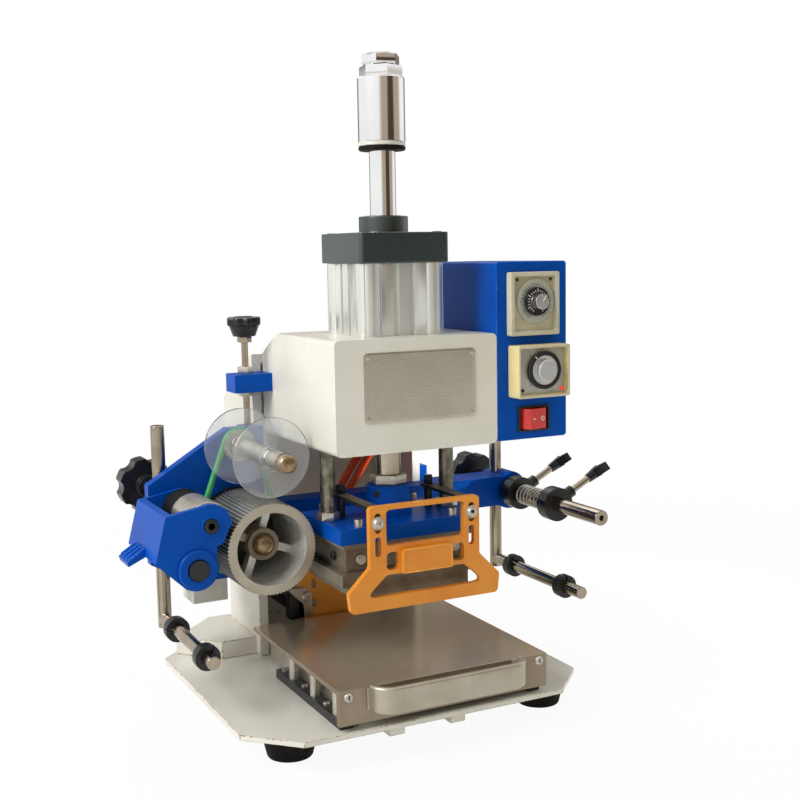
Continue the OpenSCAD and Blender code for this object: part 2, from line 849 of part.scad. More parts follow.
// Table plate with its front apron
half_table = table_w / 2;
module table_plate() {
    color(alu) {
        box([-half_table, apron_t - table_out, table_low], [half_table, table_d - table_out, table_z]);
        box([-half_table, -table_out, table_z - apron_h], [half_table, apron_t - table_out, table_z]);
    }
}

// Strap handle bent to a U
handle_z = table_z - 9;
handle_r = 18;
module table_handle() {
    r = handle_r;
    half = handle_l / 2;
    y0 = -table_out - handle_d;
    color(steel) translate([0, 0, handle_z - handle_h / 2]) linear_extrude(handle_h) {
        translate([r - half, y0]) square([handle_l - 2 * r, handle_t]);
        for (s = [-1, 1]) {
            translate([s > 0 ? half - handle_t : -half, y0 + r]) square([handle_t, handle_d - r]);
            translate([s * (half - r), y0 + r]) intersection() {
                difference() {
                    circle(r);
                    circle(r - handle_t);
                }
                translate([s > 0 ? 0 : -r, -r]) square(r);
            }
        }
    }
}

// Runners below the table, beside the rails
runner_w = 10;
runner_up = 3;
runner_in = [6, 4];
module table_slides() {
    x = rail_x - room;
    color(steel) for (s = [-1, 1])
        box([s > 0 ? x - runner_w : -x, apron_t + runner_in[0] - table_out, base_top + runner_up],
            [s > 0 ? x : runner_w - x, table_d - table_out - runner_in[1], table_low]);
}

// Foil feed on the left

// Left arm: a plate with a slide foot, a screw boss, a rod clamp and the pinch pivot
pivot_r = 6;
plate_low = 136;
plate_top = 281;
screw_boss_w = 16;
screw_low = plate_top - 15;
clamp_half = 9.5;
plate_left = 17;
slide_t = 12;
slide_z = [plate_low + 10, plate_top - 20];
slide_back = column_back - 16;
plate_top_x = -128;
plate_low_x = -165;
plate_left_z = [158, 233];
screw_boss_h = 22;
screw_boss_back = screw_at[1] + 9;
screw_end = 2;
pivot_head_t = 5;
pivot_head_r = pivot_r + 3;
take_up_journal = 4;
module left_arm() {
    x1 = -half_col - room;
    x0 = left_rod_x - plate_left;
    pivot_front = roller_front - pivot_head_t - over;
    color(blue_paint) difference() {
        union() {
            front(arm_y, arm_back) polygon([[x1, plate_low], [x1, plate_top], [plate_top_x, plate_top],
                [x0, plate_left_z[1]], [x0, plate_left_z[0]], [plate_low_x, plate_low]]);
            box([x1 - slide_t, arm_y, slide_z[0]], [x1, slide_back, slide_z[1]]);
            box([screw_at[0] - screw_boss_w / 2, arm_y, plate_top - screw_boss_h],
                [screw_at[0] + screw_boss_w / 2, screw_boss_back, plate_top]);
            box([left_rod_x - clamp_half, arm_y, left_clamp_z - clamp_half],
                [left_rod_x + clamp_half, clamp_back, left_clamp_z + clamp_half]);
            bar_y(pivot_ax, pivot_front, arm_y + over, pivot_r);
            bar_y(pivot_ax, pivot_front, pivot_front + pivot_head_t, pivot_head_r);
        }
        bar_z(screw_at, screw_low - screw_end, plate_top + over, screw_r + run);
        bar_y(roller_ax, arm_y - over, arm_back + over, shaft_r + run);
        bar_y(take_up_ax, arm_y - over, arm_back + take_up_journal, shaft_r + run);
        bar_z([left_rod_x, foil_rod_y], left_clamp_z - 2 * clamp_half, left_clamp_z + 2 * clamp_half,
            foil_rod_r + run);
        bar_y([left_rod_x, left_clamp_z], foil_rod_y, clamp_back + over, clamp_hole_r + run);
    }
}

// Geared motor behind the arm: a gear case and a round motor
gear_case_t = 34;
gear_low = [-42, -72];
gear_high = [-7, 22];
motor_ax = roller_ax + [-16, -46];
motor_l = 30;
motor_r = 24;
module feed_motor() {
    motor_y = arm_back + gear_case_t;
    color("#d8cfb4") {
        front(arm_back, motor_y) translate(roller_ax + gear_low) square(gear_high - gear_low);
        bar_y(motor_ax, motor_y, motor_y + motor_l, motor_r);
    }
}

// Round belt from the drive pulley to the take-up pulley: one closed tube
belt_sides = 10;
small_steps = 10;
large_steps = 18;
module drive_belt() {
    v = take_up_ax - roller_ax;
    dist = norm(v);
    lean = asin((drive_pulley_r - take_up_pulley_r) / dist);
    turn = atan2(v[1], v[0]) - 90;
    // Direction of each ring from its pulley's centre, then the ring's centre
    small = [for (k = [0 : small_steps]) turn + lean + k * (180 - 2 * lean) / small_steps];
    large = [for (k = [0 : large_steps]) turn + 180 - lean + k * (180 + 2 * lean) / large_steps];
    angles = concat(small, large);
    mids = concat([for (a = small) take_up_ax + take_up_pulley_r * [cos(a), sin(a)]],
        [for (a = large) roller_ax + drive_pulley_r * [cos(a), sin(a)]]);
    m = len(mids);
    n = belt_sides;
    points = [for (i = [0 : m - 1], k = [0 : n - 1])
        let (out = belt_r * cos(k * 360 / n))
        [mids[i][0] + out * cos(angles[i]), belt_y + belt_r * sin(k * 360 / n),
            mids[i][1] + out * sin(angles[i])]];
    faces = [for (i = [0 : m - 1], k = [0 : n - 1]) each
        let (a = i * n + k, b = i * n + (k + 1) % n, c = ((i + 1) % m) * n + k,
            d = ((i + 1) % m) * n + (k + 1) % n) [[a, b, c], [b, d, c]]];
    color("#3e8f3c") polyhedron(points, faces);
}

// Height screw with its lobed knob
knob_r = 16.5;
knob_h = 19;
knob_z = 367;
knob_lobes = 8;
knob_lobe_r = 4.5;
knob_rim_h = 9;
knob_low_r = 11;
knob_nut_h = 6;
knob_nut_r = 7;
module height_screw() {
    color(black) {
        bar_z(screw_at, screw_low, knob_z, screw_r);
        translate([screw_at[0], screw_at[1], knob_z]) {
            cylinder(h = knob_h - knob_rim_h, r1 = knob_low_r, r2 = knob_r - 2);
            translate([0, 0, knob_h - knob_rim_h]) linear_extrude(knob_rim_h)
                lobed(knob_r, knob_lobes, knob_lobe_r);
        }
        hex_nut(screw_at, knob_z - knob_nut_h, knob_nut_h, knob_nut_r, screw_r - over);
    }
}

// Fluted feed roller: a tube with a spoked web at mid length, whose hub and shaft end lie deep in the bore
shaft_r = 8;
rim_t = 9;
flute_d = 1.4;
web_t = 10;
spokes = 4;
spoke_w = 7;
spoke_turn = 70;
hub_r = 14;
hub_l = 22;
hub_nut_r = 12;
hub_nut_h = 6;
shaft_set = 25;
shaft_in = 0.5;
module feed_roller() {
    web_y = roller_front + roller_l / 2;
    outline = [for (i = [0 : 2 * flutes - 1])
        let (r = roller_r - (i % 2) * flute_d, a = i * 180 / flutes) r * [cos(a), sin(a)]];
    color(steel) {
        translate([roller_ax[0], 0, roller_ax[1]]) {
            front(roller_front, roller_front + roller_l) difference() {
                polygon(outline);
                circle(roller_r - rim_t);
            }
            front(web_y - web_t / 2, web_y + web_t / 2)
                for (i = [0 : spokes - 1]) rotate(spoke_turn + i * 360 / spokes)
                    translate([0, -spoke_w / 2]) square([roller_r - rim_t + over, spoke_w]);
        }
        bar_y(roller_ax, web_y - hub_l / 2, web_y + hub_l / 2, hub_r);
        bar_y(roller_ax, roller_front + shaft_set, arm_back - shaft_in, shaft_r);
        translate([roller_ax[0], web_y - hub_l / 2, roller_ax[1]]) rotate([90, 0, 0])
            cylinder(h = hub_nut_h, r = hub_nut_r, $fn = 6);
    }
}

// A grooved pulley round an axis, for the round belt
pulley_rim = 1;
module pulley(ax, r, hole) {
    groove_r = belt_r + room;
    translate([ax[0], belt_y, ax[1]]) rotate([90, 0, 0]) rotate_extrude() difference() {
        translate([hole, -pulley_t / 2]) square([r - hole + pulley_rim, pulley_t]);
        translate([r, 0]) circle(groove_r, $fn = 32);
    }
}

module drive_pulley() {
    color(black) pulley(roller_ax, drive_pulley_r, shaft_r + fit);
}

// Take-up shaft with its pulley
take_up_tip = 15;
module take_up_shaft() {
    color(steel) {
        bar_y(take_up_ax, take_up_tip, arm_back - shaft_in, shaft_r);
        pulley(take_up_ax, take_up_pulley_r, shaft_r - over);
    }
}

// Two clear discs on the take-up shaft
disc_t = 3;
disc_back = pulley_y - 3;
disc_hub_r = shaft_r + 4;
disc_hub_out = 4;
module spool_discs() {
    color("#dfeef2") for (y = [disc_back - disc_t, disc_back - 2 * disc_t - disc_gap]) difference() {
        union() {
            bar_y(take_up_ax, y, y + disc_t, disc_r);
            bar_y(take_up_ax, y - disc_hub_out, y + disc_t, disc_hub_r);
        }
        bar_y(take_up_ax, y - disc_hub_out - over, y + disc_t + over, shaft_r + fit);
    }
}

// Pinch housing: two shaped cheeks, a left wall, a lever tab and the roller's axle
cheek_plate = 6;
housing_front = roller_front;
housing_back = arm_y - 4;
axle_r = 5;
lobe_r = 19;
lobe_clear = 4;
left_low = pivot_ax + [-37, 9];
left_top = pinch_ax + [-40, 12];
lever_y = [90, 121];
module cheek_outline() {
    difference() {
        union() {
            polygon([left_low, left_top, pinch_ax + [-6, lobe_r - 1], pinch_ax + [6, 0],
                pivot_ax + [lobe_r - 2, 0], pivot_ax + [-10, 2 - lobe_r]]);
            translate(pinch_ax) circle(lobe_r);
            translate(pivot_ax) circle(lobe_r);
        }
        translate(roller_ax) circle(roller_r + lobe_clear);
    }
}
module pinch_housing() {
    color(blue_paint) {
        difference() {
            union() {
                front(housing_front, housing_front + cheek_plate) cheek_outline();
                front(housing_back - cheek_plate, housing_back) cheek_outline();
                front(housing_front, housing_back)
                    polygon([left_low, left_top, left_top + [cheek_plate, 1], left_low + [cheek_plate, 0]]);
            }
            bar_y(pivot_ax, housing_front - over, housing_back + over, pivot_r + run);
        }
        front(lever_y[0], lever_y[1])
            polygon([left_low + [cheek_plate, 1], left_low + [1, 6], [lever_tip, left_low[1] - 4],
                [lever_tip + 1, left_low[1] - 8], left_low + [1, -1]]);
        bar_y(pinch_ax, housing_front - over, housing_back, axle_r);
    }
}

pinch_gap = 1;
module pinch_roller() {
    color("#3a3a3c") difference() {
        bar_y(pinch_ax, housing_front + cheek_plate + pinch_gap,
            housing_back - cheek_plate - pinch_gap, pinch_r);
        bar_y(pinch_ax, housing_front, housing_back, axle_r + run);
    }
}

// Foil unwind on the right

// Unwind shaft with a flange before the arm
flange_t = 6;
flange_r = unwind_r + 6;
tip_hole_r = 2.5;
tip_hole_l = 10;
journal_in = 1;
module unwind_shaft() {
    color(steel) difference() {
        union() {
            bar_y(unwind_ax, unwind_tip, arm_y + journal_l - journal_in, unwind_r);
            bar_y(unwind_ax, arm_y - room - flange_t, arm_y - room, flange_r);
        }
        bar_y(unwind_ax, unwind_tip - over, unwind_tip + tip_hole_l, tip_hole_r);
    }
}

// Collars held by the T-screws, each with a round ear that its screw stands in
collar_t = 14;
ear_r = 6;
ear_l = 24;
rear_collar_y = arm_y - 24;
front_collar_y = 58;
module unwind_collars() {
    color(black) difference() {
        for (y = [front_collar_y, rear_collar_y]) {
            bar_y(unwind_ax, y, y + collar_t, unwind_collar_r);
            t_place(y) cylinder(h = ear_l, r = ear_r);
        }
        for (y = [front_collar_y, rear_collar_y]) {
            bar_y(unwind_ax, y - over, y + collar_t + over, unwind_r + fit);
            t_place(y) cylinder(h = ear_l + over, r = t_screw_r + run);
        }
    }
}

// Brake spring between the collars: one wire, wound by formula with straight ends
spring_r = unwind_r + wire_r + 0.6;
spring_off = 0.1;
spring_start = front_collar_y + collar_t + wire_r + spring_off;
spring_l = rear_collar_y - wire_r - spring_off - spring_start;
spring_pitch = spring_l / spring_curls;
spring_rings = 8;
wire_sides = 6;
function spring_at(k) = [unwind_ax[0] + spring_r * cos(k * 360 / spring_rings),
    spring_start + k * spring_pitch / spring_rings, unwind_ax[1] + spring_r * sin(k * 360 / spring_rings)];
spring_n = spring_curls * spring_rings;
spring_mid = [for (k = [0 : spring_n]) spring_at(k)];
spring_gap = min([for (i = [0 : spring_n], j = [0 : spring_n]) if (j > i + spring_rings / 2)
    norm(spring_mid[i] - spring_mid[j])]) - 2 * wire_r;
echo(spring_gap = spring_gap);
module unwind_spring() {
    tail = [0, 0, 2 * wire_r];
    color(steel) swept(concat([spring_mid[0] - tail], spring_mid, [spring_mid[spring_n] + tail]),
        wire_r, wire_sides, [0, 1, 0], [unit(tail), unit(tail)]);
}

// A T-screw stands out of its collar along its own Z: a stem, a neck and a wing
t_screw_r = 3.5;
t_foot = unwind_r + 1;
wing_low = 7;
wing_taper = 3;
neck_r = 6;
neck_l = 16;
module t_place(y) {
    translate([unwind_ax[0], y + collar_t / 2, unwind_ax[1]]) rotate([0, 90 - t_angle, 0]) children();
}
module t_screw(y) {
    color(steel) t_place(y) {
        translate([0, 0, t_foot]) cylinder(h = t_reach - t_foot, r = t_screw_r);
        translate([0, 0, t_reach - neck_l]) cylinder(h = neck_l, r1 = neck_r - 1.5, r2 = neck_r);
        rotate(t_turn) rotate([90, 0, 0]) translate([0, t_reach, -wing_t / 2]) linear_extrude(wing_t)
            polygon([[-t_bar_l / 2, t_bar_r], [t_bar_l / 2, t_bar_r], [t_bar_l / 2 - wing_taper, 0],
                [neck_r, -wing_low], [-neck_r, -wing_low], [wing_taper - t_bar_l / 2, 0]]);
    }
}
module t_screw_front() {
    t_screw(front_collar_y);
}
module t_screw_rear() {
    t_screw(rear_collar_y);
}

// Foil guides: a vertical rod with a horizontal guide at its foot
left_bar_z = 99;
left_rod_top = 286;
left_bar_tip = 22;
right_bar_z = 110;
right_rod_top = 262;
right_bar_tip = 10;
left_guide = [[left_rod_x, left_bar_z], left_rod_top, left_bar_tip];
right_guide = [[right_rod_x, right_bar_z], right_rod_top, right_bar_tip];
guide_bar_r = foil_rod_r - 0.5;
rod_below = 2;
module foil_guide(g) {
    ax = g[0];
    color(steel) {
        bar_z([ax[0], foil_rod_y], ax[1] - foil_rod_r - rod_below, g[1], foil_rod_r);
        bar_y(ax, g[2], foil_rod_y, guide_bar_r);
    }
}
module left_guide_rod() {
    foil_guide(left_guide);
}
module right_guide_rod() {
    foil_guide(right_guide);
}

// Split collar on a guide, with its slit at an angle in X and Z
guide_collar_t = 10;
slit_w = 1.6;
left_collar_ys = [38, 128];
right_collar_ys = [36, 130];
module guide_collar(ax, y, slit) {
    color(black) translate([ax[0], 0, ax[1]]) front(y, y + guide_collar_t) difference() {
        circle(collar_r);
        circle(guide_bar_r + run);
        rotate(slit) translate([0, -slit_w / 2]) square([collar_r + over, slit_w]);
    }
}
module left_collar_front() {
    guide_collar(left_guide[0], left_collar_ys[0], 55);
}
module left_collar_rear() {
    guide_collar(left_guide[0], left_collar_ys[1], 170);
}
module right_collar_front() {
    guide_collar(right_guide[0], right_collar_ys[0], 90);
}
module right_collar_rear() {
    guide_collar(right_guide[0], right_collar_ys[1], 120);
}

// Star knob that clamps a foil guide from behind
star_out = 66;
star_y = arm_y + star_out;
star_t = 20;
star_hub_r = 11;
star_hub_l = 8;
star_valley_r = 9;
star_valley = 3.5;
module star_knob(x, z) {
    color(black) {
        bar_y([x, z], foil_rod_y + foil_rod_r + room, star_y + over, clamp_hole_r);
        bar_y([x, z], star_y - star_hub_l, star_y + over, star_hub_r);
        translate([x, 0, z]) front(star_y, star_y + star_t)
            scalloped(star_r, star_lobes, star_valley_r, star_valley);
    }
}
module left_star_knob() {
    star_knob(left_rod_x, left_clamp_z);
}
module right_star_knob() {
    star_knob(right_rod_x, right_clamp_z);
}

// Control dials and power rocker

// Radius and height of each step of a dial, outermost first
timer_steps = [[20.5, 2], [13, 5], [7, 13]];
temp_steps = [[17.5, 4], [10, 9]];
module timer_dial() {
    y = timer_sink - timer_out - room;
    color("#2a2b2d") for (d = timer_steps) bar_y(timer_dial_at, y - d[1], y, d[0]);
}

temp_dial_at = temp_at + [1, 1];
module temperature_dial() {
    y = temp_sink - temp_out - room;
    color(alu) for (d = temp_steps) bar_y(temp_dial_at, y - d[1], y, d[0]);
}

// Rocker turning about an upright pin, resting with its left end out
rocker_pin_y = 4;
rocker_out = 6.2;
rocker_face = 19.6;
rocker_rest = 12;
rocker_depth = 8;
rocker_pin_r = 2;
rocker_pin_out = 0.8;
module power_rocker() {
    half = rocker_w / 2 - 3 * room;
    low = switch_at[1] - rocker_h / 2;
    color("#c8201c") translate([switch_at[0], rocker_pin_y, low]) rotate(rocker_rest) {
        bar_z([0, 0], -rocker_pin_out, rocker_h + rocker_pin_out, rocker_pin_r);
        translate([0, -rocker_pin_y, 0]) linear_extrude(rocker_h)
            polygon([[-rocker_face / 2, -rocker_out], [rocker_face / 2, -rocker_out], [half, rocker_pin_y],
                [0, rocker_pin_y + rocker_depth], [-half, rocker_pin_y]]);
    }
}

// The whole machine, moved so that the origin lies under its middle
module placed() {
    translate([-mid_x, -mid_y, foot_h - base_z]) children();
}

placed() base_plate();
placed() rubber_feet();
placed() frame_column();
placed() head_housing();
placed() nameplate();
placed() cylinder_barrel();
placed() cylinder_cap();
placed() guide_bushes();
placed() air_tubes();
placed() control_box();
placed() control_box_back();
placed() timer_unit();
placed() temperature_unit();
placed() switch_bezel();
placed() slide_rails();
placed() rear_guard();
placed() height_block();
placed() right_arm();
placed() piston_rod();
placed() stroke_sleeve();
placed() stroke_bumper();
placed() stroke_nuts();
placed() press_nuts();
placed() rod_coupling();
placed() platen();
placed() insulation_plate();
placed() heater_block();
placed() die_plate();
placed() guide_rods();
placed() guard_arms();
placed() safety_guard();
placed() table_plate();
placed() table_handle();
placed() table_slides();
placed() left_arm();
placed() feed_motor();
placed() drive_belt();
placed() height_screw();
placed() feed_roller();
placed() drive_pulley();
placed() take_up_shaft();
placed() spool_discs();
placed() pinch_housing();
placed() pinch_roller();
placed() unwind_shaft();
placed() unwind_collars();
placed() unwind_spring();
placed() t_screw_front();
placed() t_screw_rear();
placed() left_guide_rod();
placed() right_guide_rod();
placed() left_collar_front();
placed() left_collar_rear();
placed() right_collar_front();
placed() right_collar_rear();
placed() left_star_knob();
placed() right_star_knob();
placed() timer_dial();
placed() temperature_dial();
placed() power_rocker();
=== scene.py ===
# Bench hot stamping press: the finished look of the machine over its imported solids.
import json
from math import asin, atan2, cos, degrees, pi, radians, sin, tan

import bmesh
import bpy
from mathutils import Matrix, Vector

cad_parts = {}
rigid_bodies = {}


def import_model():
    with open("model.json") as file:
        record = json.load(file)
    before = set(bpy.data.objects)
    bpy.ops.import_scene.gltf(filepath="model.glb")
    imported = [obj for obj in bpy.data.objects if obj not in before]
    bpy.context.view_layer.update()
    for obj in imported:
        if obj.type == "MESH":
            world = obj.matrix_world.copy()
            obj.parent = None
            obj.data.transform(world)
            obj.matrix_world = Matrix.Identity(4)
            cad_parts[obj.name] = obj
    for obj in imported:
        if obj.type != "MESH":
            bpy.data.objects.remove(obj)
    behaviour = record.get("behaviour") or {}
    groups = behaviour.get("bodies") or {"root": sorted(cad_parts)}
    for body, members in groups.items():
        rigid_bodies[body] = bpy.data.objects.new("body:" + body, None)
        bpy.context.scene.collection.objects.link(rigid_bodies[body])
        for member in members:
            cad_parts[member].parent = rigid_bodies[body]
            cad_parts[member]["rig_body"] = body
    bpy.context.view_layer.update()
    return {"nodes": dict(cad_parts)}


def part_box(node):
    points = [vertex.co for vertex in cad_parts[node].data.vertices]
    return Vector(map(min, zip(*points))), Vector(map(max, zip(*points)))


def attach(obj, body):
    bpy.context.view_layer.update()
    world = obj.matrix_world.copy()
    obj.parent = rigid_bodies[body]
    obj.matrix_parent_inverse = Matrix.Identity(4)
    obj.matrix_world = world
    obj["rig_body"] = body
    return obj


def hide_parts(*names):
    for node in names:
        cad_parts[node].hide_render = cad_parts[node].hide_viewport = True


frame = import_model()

FRONT, BACK, RIGHT = Vector((0, -1, 0)), Vector((0, 1, 0)), Vector((1, 0, 0))
UP, DOWN = Vector((0, 0, 1)), Vector((0, 0, -1))

# Places are in the machine's own millimetres: x from the head's middle, y from its front face,
# z from a level HEAD_Z below its underside
HEAD_Z = 269
head_low, head_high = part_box("head_housing")
HEAD_FRONT = Vector(((head_low.x + head_high.x) / 2, head_low.y, head_low.z - HEAD_Z / 1000))


def at(x, y, z):
    """A place on the machine in millimetres, as a point in metres."""
    return HEAD_FRONT + Vector((x, y, z)) / 1000


def on_machine(point):
    """A point in metres, as a place on the machine in millimetres."""
    return (point - HEAD_FRONT) * 1000


# Camera at the photograph's angle

CAMERA_PLACE = (-491.7, -940.2, 442.9)
CAMERA_AZIMUTH = radians(-26.7)
CAMERA_ELEVATION = radians(6.9)
CAMERA_ROLL = radians(-1.0)
SENSOR_WIDTH, FOCAL_LENGTH = 36, 54.414
camera_back = Vector((sin(CAMERA_AZIMUTH) * cos(CAMERA_ELEVATION),
                      -cos(CAMERA_AZIMUTH) * cos(CAMERA_ELEVATION), sin(CAMERA_ELEVATION)))
level_right = UP.cross(camera_back).normalized()
level_up = camera_back.cross(level_right)
camera_right = level_right * cos(CAMERA_ROLL) + level_up * sin(CAMERA_ROLL)
camera_up = level_up * cos(CAMERA_ROLL) - level_right * sin(CAMERA_ROLL)
camera_data = bpy.data.cameras.new("camera")
camera_data.sensor_width = SENSOR_WIDTH
camera_data.lens = FOCAL_LENGTH
camera = bpy.data.objects.new("camera", camera_data)
camera_turn = Matrix((camera_right, camera_up, camera_back)).transposed().to_4x4()
camera.matrix_world = Matrix.Translation(at(*CAMERA_PLACE)) @ camera_turn
bpy.context.scene.collection.objects.link(camera)
bpy.context.scene.camera = camera
bpy.context.scene.view_settings.view_transform = "Standard"


# Materials

# Most of a noise texture's values lie in this span
NOISE_LOW, NOISE_HIGH = 0.3, 0.7
# A chip is this much rougher than the finish, and this many times as deep as its grain
CHIP_ROUGHER, CHIP_DEEPER = 0.25, 1.5


def linear(colour):
    """An sRGB hex colour as linear RGBA."""
    parts = [int(colour[i:i + 2], 16) / 255 for i in (1, 3, 5)]
    return [c / 12.92 if c <= 0.04045 else ((c + 0.055) / 1.055) ** 2.4 for c in parts] + [1]


def bare_tree(owner):
    """The node tree of a material or a world, emptied."""
    owner.use_nodes = True
    owner.node_tree.nodes.clear()
    return owner.node_tree


def add(tree, kind, sockets=None, **settings):
    """Adds one node with its settings, and sets or links its sockets."""
    node = tree.nodes.new(kind)
    for name, value in settings.items():
        setattr(node, name, value)
    for name, value in (sockets or {}).items():
        if isinstance(value, bpy.types.NodeSocket):
            tree.links.new(value, node.inputs[name])
        else:
            node.inputs[name].default_value = value
    return node


def ramp(tree, value, low, high, start=0.0, end=1.0):
    """A value carried over from the span low to high to the span start to end, and held at its ends."""
    return add(tree, "ShaderNodeMapRange", {"Value": value, "From Min": low, "From Max": high,
                                            "To Min": start, "To Max": end}).outputs[0]


def tinted(tree, share, first, second):
    """A blend of two colours."""
    return add(tree, "ShaderNodeMix", {0: share, 6: first, 7: second}, data_type="RGBA").outputs[2]


def reckon(tree, operation, *values, **settings):
    """The result of one sum."""
    return add(tree, "ShaderNodeMath", dict(enumerate(values)), operation=operation, **settings).outputs[0]


def surface(name, colour, drift, blotch, rough, grain, depth, chip=None, **shader):
    """A finish with patches from colour to drift, a grain that sets roughness and relief, and chips.
    Sizes are in millimetres: blotch across a patch, grain along x, y and z, depth of the relief.
    chip is the colour below the finish, the size of a chip and the share of the surface that is chipped."""
    material = bpy.data.materials.new(name)
    tree = bare_tree(material)
    place = add(tree, "ShaderNodeTexCoord").outputs["Object"]
    patches = add(tree, "ShaderNodeTexNoise", {"Vector": place, "Scale": 1000 / blotch, "Detail": 5.0}).outputs[0]
    tint = tinted(tree, ramp(tree, patches, NOISE_LOW, NOISE_HIGH), linear(colour), linear(drift))
    lay = add(tree, "ShaderNodeMapping", {"Vector": place, "Scale": [1000 / g for g in grain]}).outputs[0]
    fine = add(tree, "ShaderNodeTexNoise", {"Vector": lay, "Scale": 1.0, "Detail": 3.0}).outputs[0]
    roughness = ramp(tree, fine, NOISE_LOW, NOISE_HIGH, *rough)
    relief = fine
    if chip:
        under, size, share = chip
        flakes = add(tree, "ShaderNodeTexNoise", {"Vector": place, "Scale": 1000 / size, "Detail": 6.0,
                                                  "Roughness": 0.65}).outputs[0]
        chip_edge = 0.72 - 0.4 * share
        bare = ramp(tree, flakes, chip_edge, chip_edge + 0.05)
        tint = tinted(tree, bare, tint, linear(under))
        roughness = reckon(tree, "MULTIPLY_ADD", bare, CHIP_ROUGHER, roughness, use_clamp=True)
        relief = reckon(tree, "MULTIPLY_ADD", bare, -CHIP_DEEPER, fine)
    bump = add(tree, "ShaderNodeBump", {"Height": relief, "Strength": 0.6, "Distance": depth / 1000})
    body = add(tree, "ShaderNodeBsdfPrincipled", {"Base Color": tint, "Roughness": roughness,
                                                  "Normal": bump.outputs[0]})
    for socket, value in shader.items():
        body.inputs[socket.replace("_", " ").title().replace("Ior", "IOR")].default_value = value
    add(tree, "ShaderNodeOutputMaterial", {"Surface": body.outputs[0]})
    return material


# Baked enamel: a smooth half-gloss skin with a faint orange peel and rubbed, chipped edges
WHITE = surface("baked_white_enamel", "#e2dfd6", "#d6d2c6", 70, (0.3, 0.42), (1.8, 1.8, 1.8), 0.04,
                ("#a59d8c", 9, 0.03), coat_weight=0.15)
WHITE_EDGE = surface("baked_white_enamel_edge", "#d8d3c6", "#c4bcab", 14, (0.35, 0.5), (1.2, 1.2, 1.2), 0.05,
                     ("#8a8272", 3.5, 0.42))
BLUE = surface("baked_blue_enamel", "#004eb0", "#00449f", 60, (0.3, 0.42), (1.6, 1.6, 1.6), 0.04,
               ("#06296a", 6, 0.06), specular_ior_level=0.1)
# Blue edges: chips of bare metal for wear, on a lighter blue that is a painted highlight
BLUE_EDGE_WEAR_AND_SHEEN = surface("baked_blue_enamel_edge_wear_and_painted_highlight", "#1a64c8", "#054cae", 12, (0.34, 0.48), (1.2, 1.2, 1.2), 0.04,
                    ("#8f9cae", 2.5, 0.28), specular_ior_level=0.2)
# Powder-coated sheet: soft satin with a fine pebble
ORANGE = surface("orange_powder_coat", "#e6962c", "#dc8420", 45, (0.32, 0.46), (1.1, 1.1, 1.1), 0.05,
                 ("#c2700f", 6, 0.08))
# Orange edges: chips for wear, on a lighter orange that is a painted highlight
ORANGE_EDGE_WEAR_AND_SHEEN = surface("orange_powder_coat_edge_wear_and_painted_highlight", "#f0ab48", "#e0912a", 10, (0.35, 0.5), (0.9, 0.9, 0.9), 0.04,
                      ("#b98a4a", 2.5, 0.25))
# Dark anodised aluminium: a grey-green satin casting with a fine tooth
DARK = surface("dark_anodised_aluminium", "#152928", "#102221", 30, (0.24, 0.36), (0.7, 0.7, 0.7), 0.03,
               ("#33413f", 4, 0.08), specular_ior_level=1.0)
# Anodised extrusion: fine die lines run up the barrel
BARREL = surface("anodised_aluminium_extrusion", "#e4e5e0", "#dcddd8", 40, (0.22, 0.26), (0.6, 0.6, 60), 0.004,
                 metallic=0.75)
# Machined aluminium: bright, with fine tool marks across the turning axis
ALUMINIUM = surface("turned_aluminium", "#d6d6d4", "#c3c3c0", 25, (0.2, 0.36), (12, 0.5, 12), 0.01,
                    ("#9b9a96", 7, 0.08), metallic=1.0)
# Bored aluminium: pale and clean, with fine rings from the boring bar
BORED = surface("bored_aluminium", "#dedcd6", "#cbc9c2", 20, (0.22, 0.36), (14, 0.6, 14), 0.012, metallic=0.4)
# Polished hard chrome: near mirror with faint haze
CHROME = surface("hard_chrome_plate", "#f2f2f2", "#e6e6e7", 50, (0.06, 0.12), (6, 6, 0.6), 0.002, metallic=1.0)
# Worn nickel plate: warm grey, with a soft mirror and fine rubbed haze
NICKEL = surface("worn_nickel_plate", "#b3a796", "#988b79", 24, (0.12, 0.24), (4, 4, 0.8), 0.004,
                 ("#7d715f", 6, 0.1), metallic=1.0)
# Ground steel: grey, finely scratched, lightly stained
STEEL = surface("ground_steel", "#c9c4ba", "#b3ada1", 20, (0.24, 0.4), (1.2, 1.2, 1.2), 0.006,
                ("#857d70", 5, 0.12), metallic=0.85)
# Stainless sheet: drawn grain from side to side, with wipe marks
STAINLESS = surface("brushed_stainless_sheet", "#e0d0b6", "#cfbea2", 90, (0.15, 0.21), (60, 0.4, 0.4), 0.003,
                    ("#b5a489", 18, 0.08), metallic=0.7)
# Stainless sheet's folded sides: duller than its wiped top, and darker as painted shade
STAINLESS_SIDES_PAINTED_SHADE = surface("stainless_sheet_sides_with_painted_shade", "#9a8c78", "#837561", 40, (0.3, 0.46), (70, 0.5, 0.5),
                         0.006, ("#6f6351", 10, 0.12), metallic=0.6)
# Brushed aluminium: a thin plate with its grain from side to side
BRUSHED = surface("brushed_aluminium_plate", "#c3bbae", "#b8b0a2", 40, (0.24, 0.3), (45, 0.4, 0.4), 0.003,
                  ("#9b948a", 5, 0.08), metallic=0.75)
# Satin cast aluminium: soft grey with a sand-cast tooth, smoothed by handling
CAST = surface("satin_cast_aluminium", "#b8b1a1", "#a69e8c", 26, (0.3, 0.42), (0.8, 0.8, 0.8), 0.03,
               ("#978f7d", 5, 0.1), metallic=0.7)
# Guide-rod steel: mottled by oil and old plating
GUIDE_STEEL = surface("oil_stained_steel", "#8d8a7c", "#595446", 8, (0.22, 0.42), (2, 2, 7), 0.015,
                      ("#56503f", 6, 0.22), metallic=0.85)
# Steel blackened by heat and oil: brown-grey, with pale scrapes
TARNISHED = surface("heat_tarnished_steel", "#857b6a", "#685f4f", 18, (0.34, 0.52), (1.5, 1.5, 1.5), 0.02,
                    ("#a59b8a", 7, 0.14), metallic=0.5)
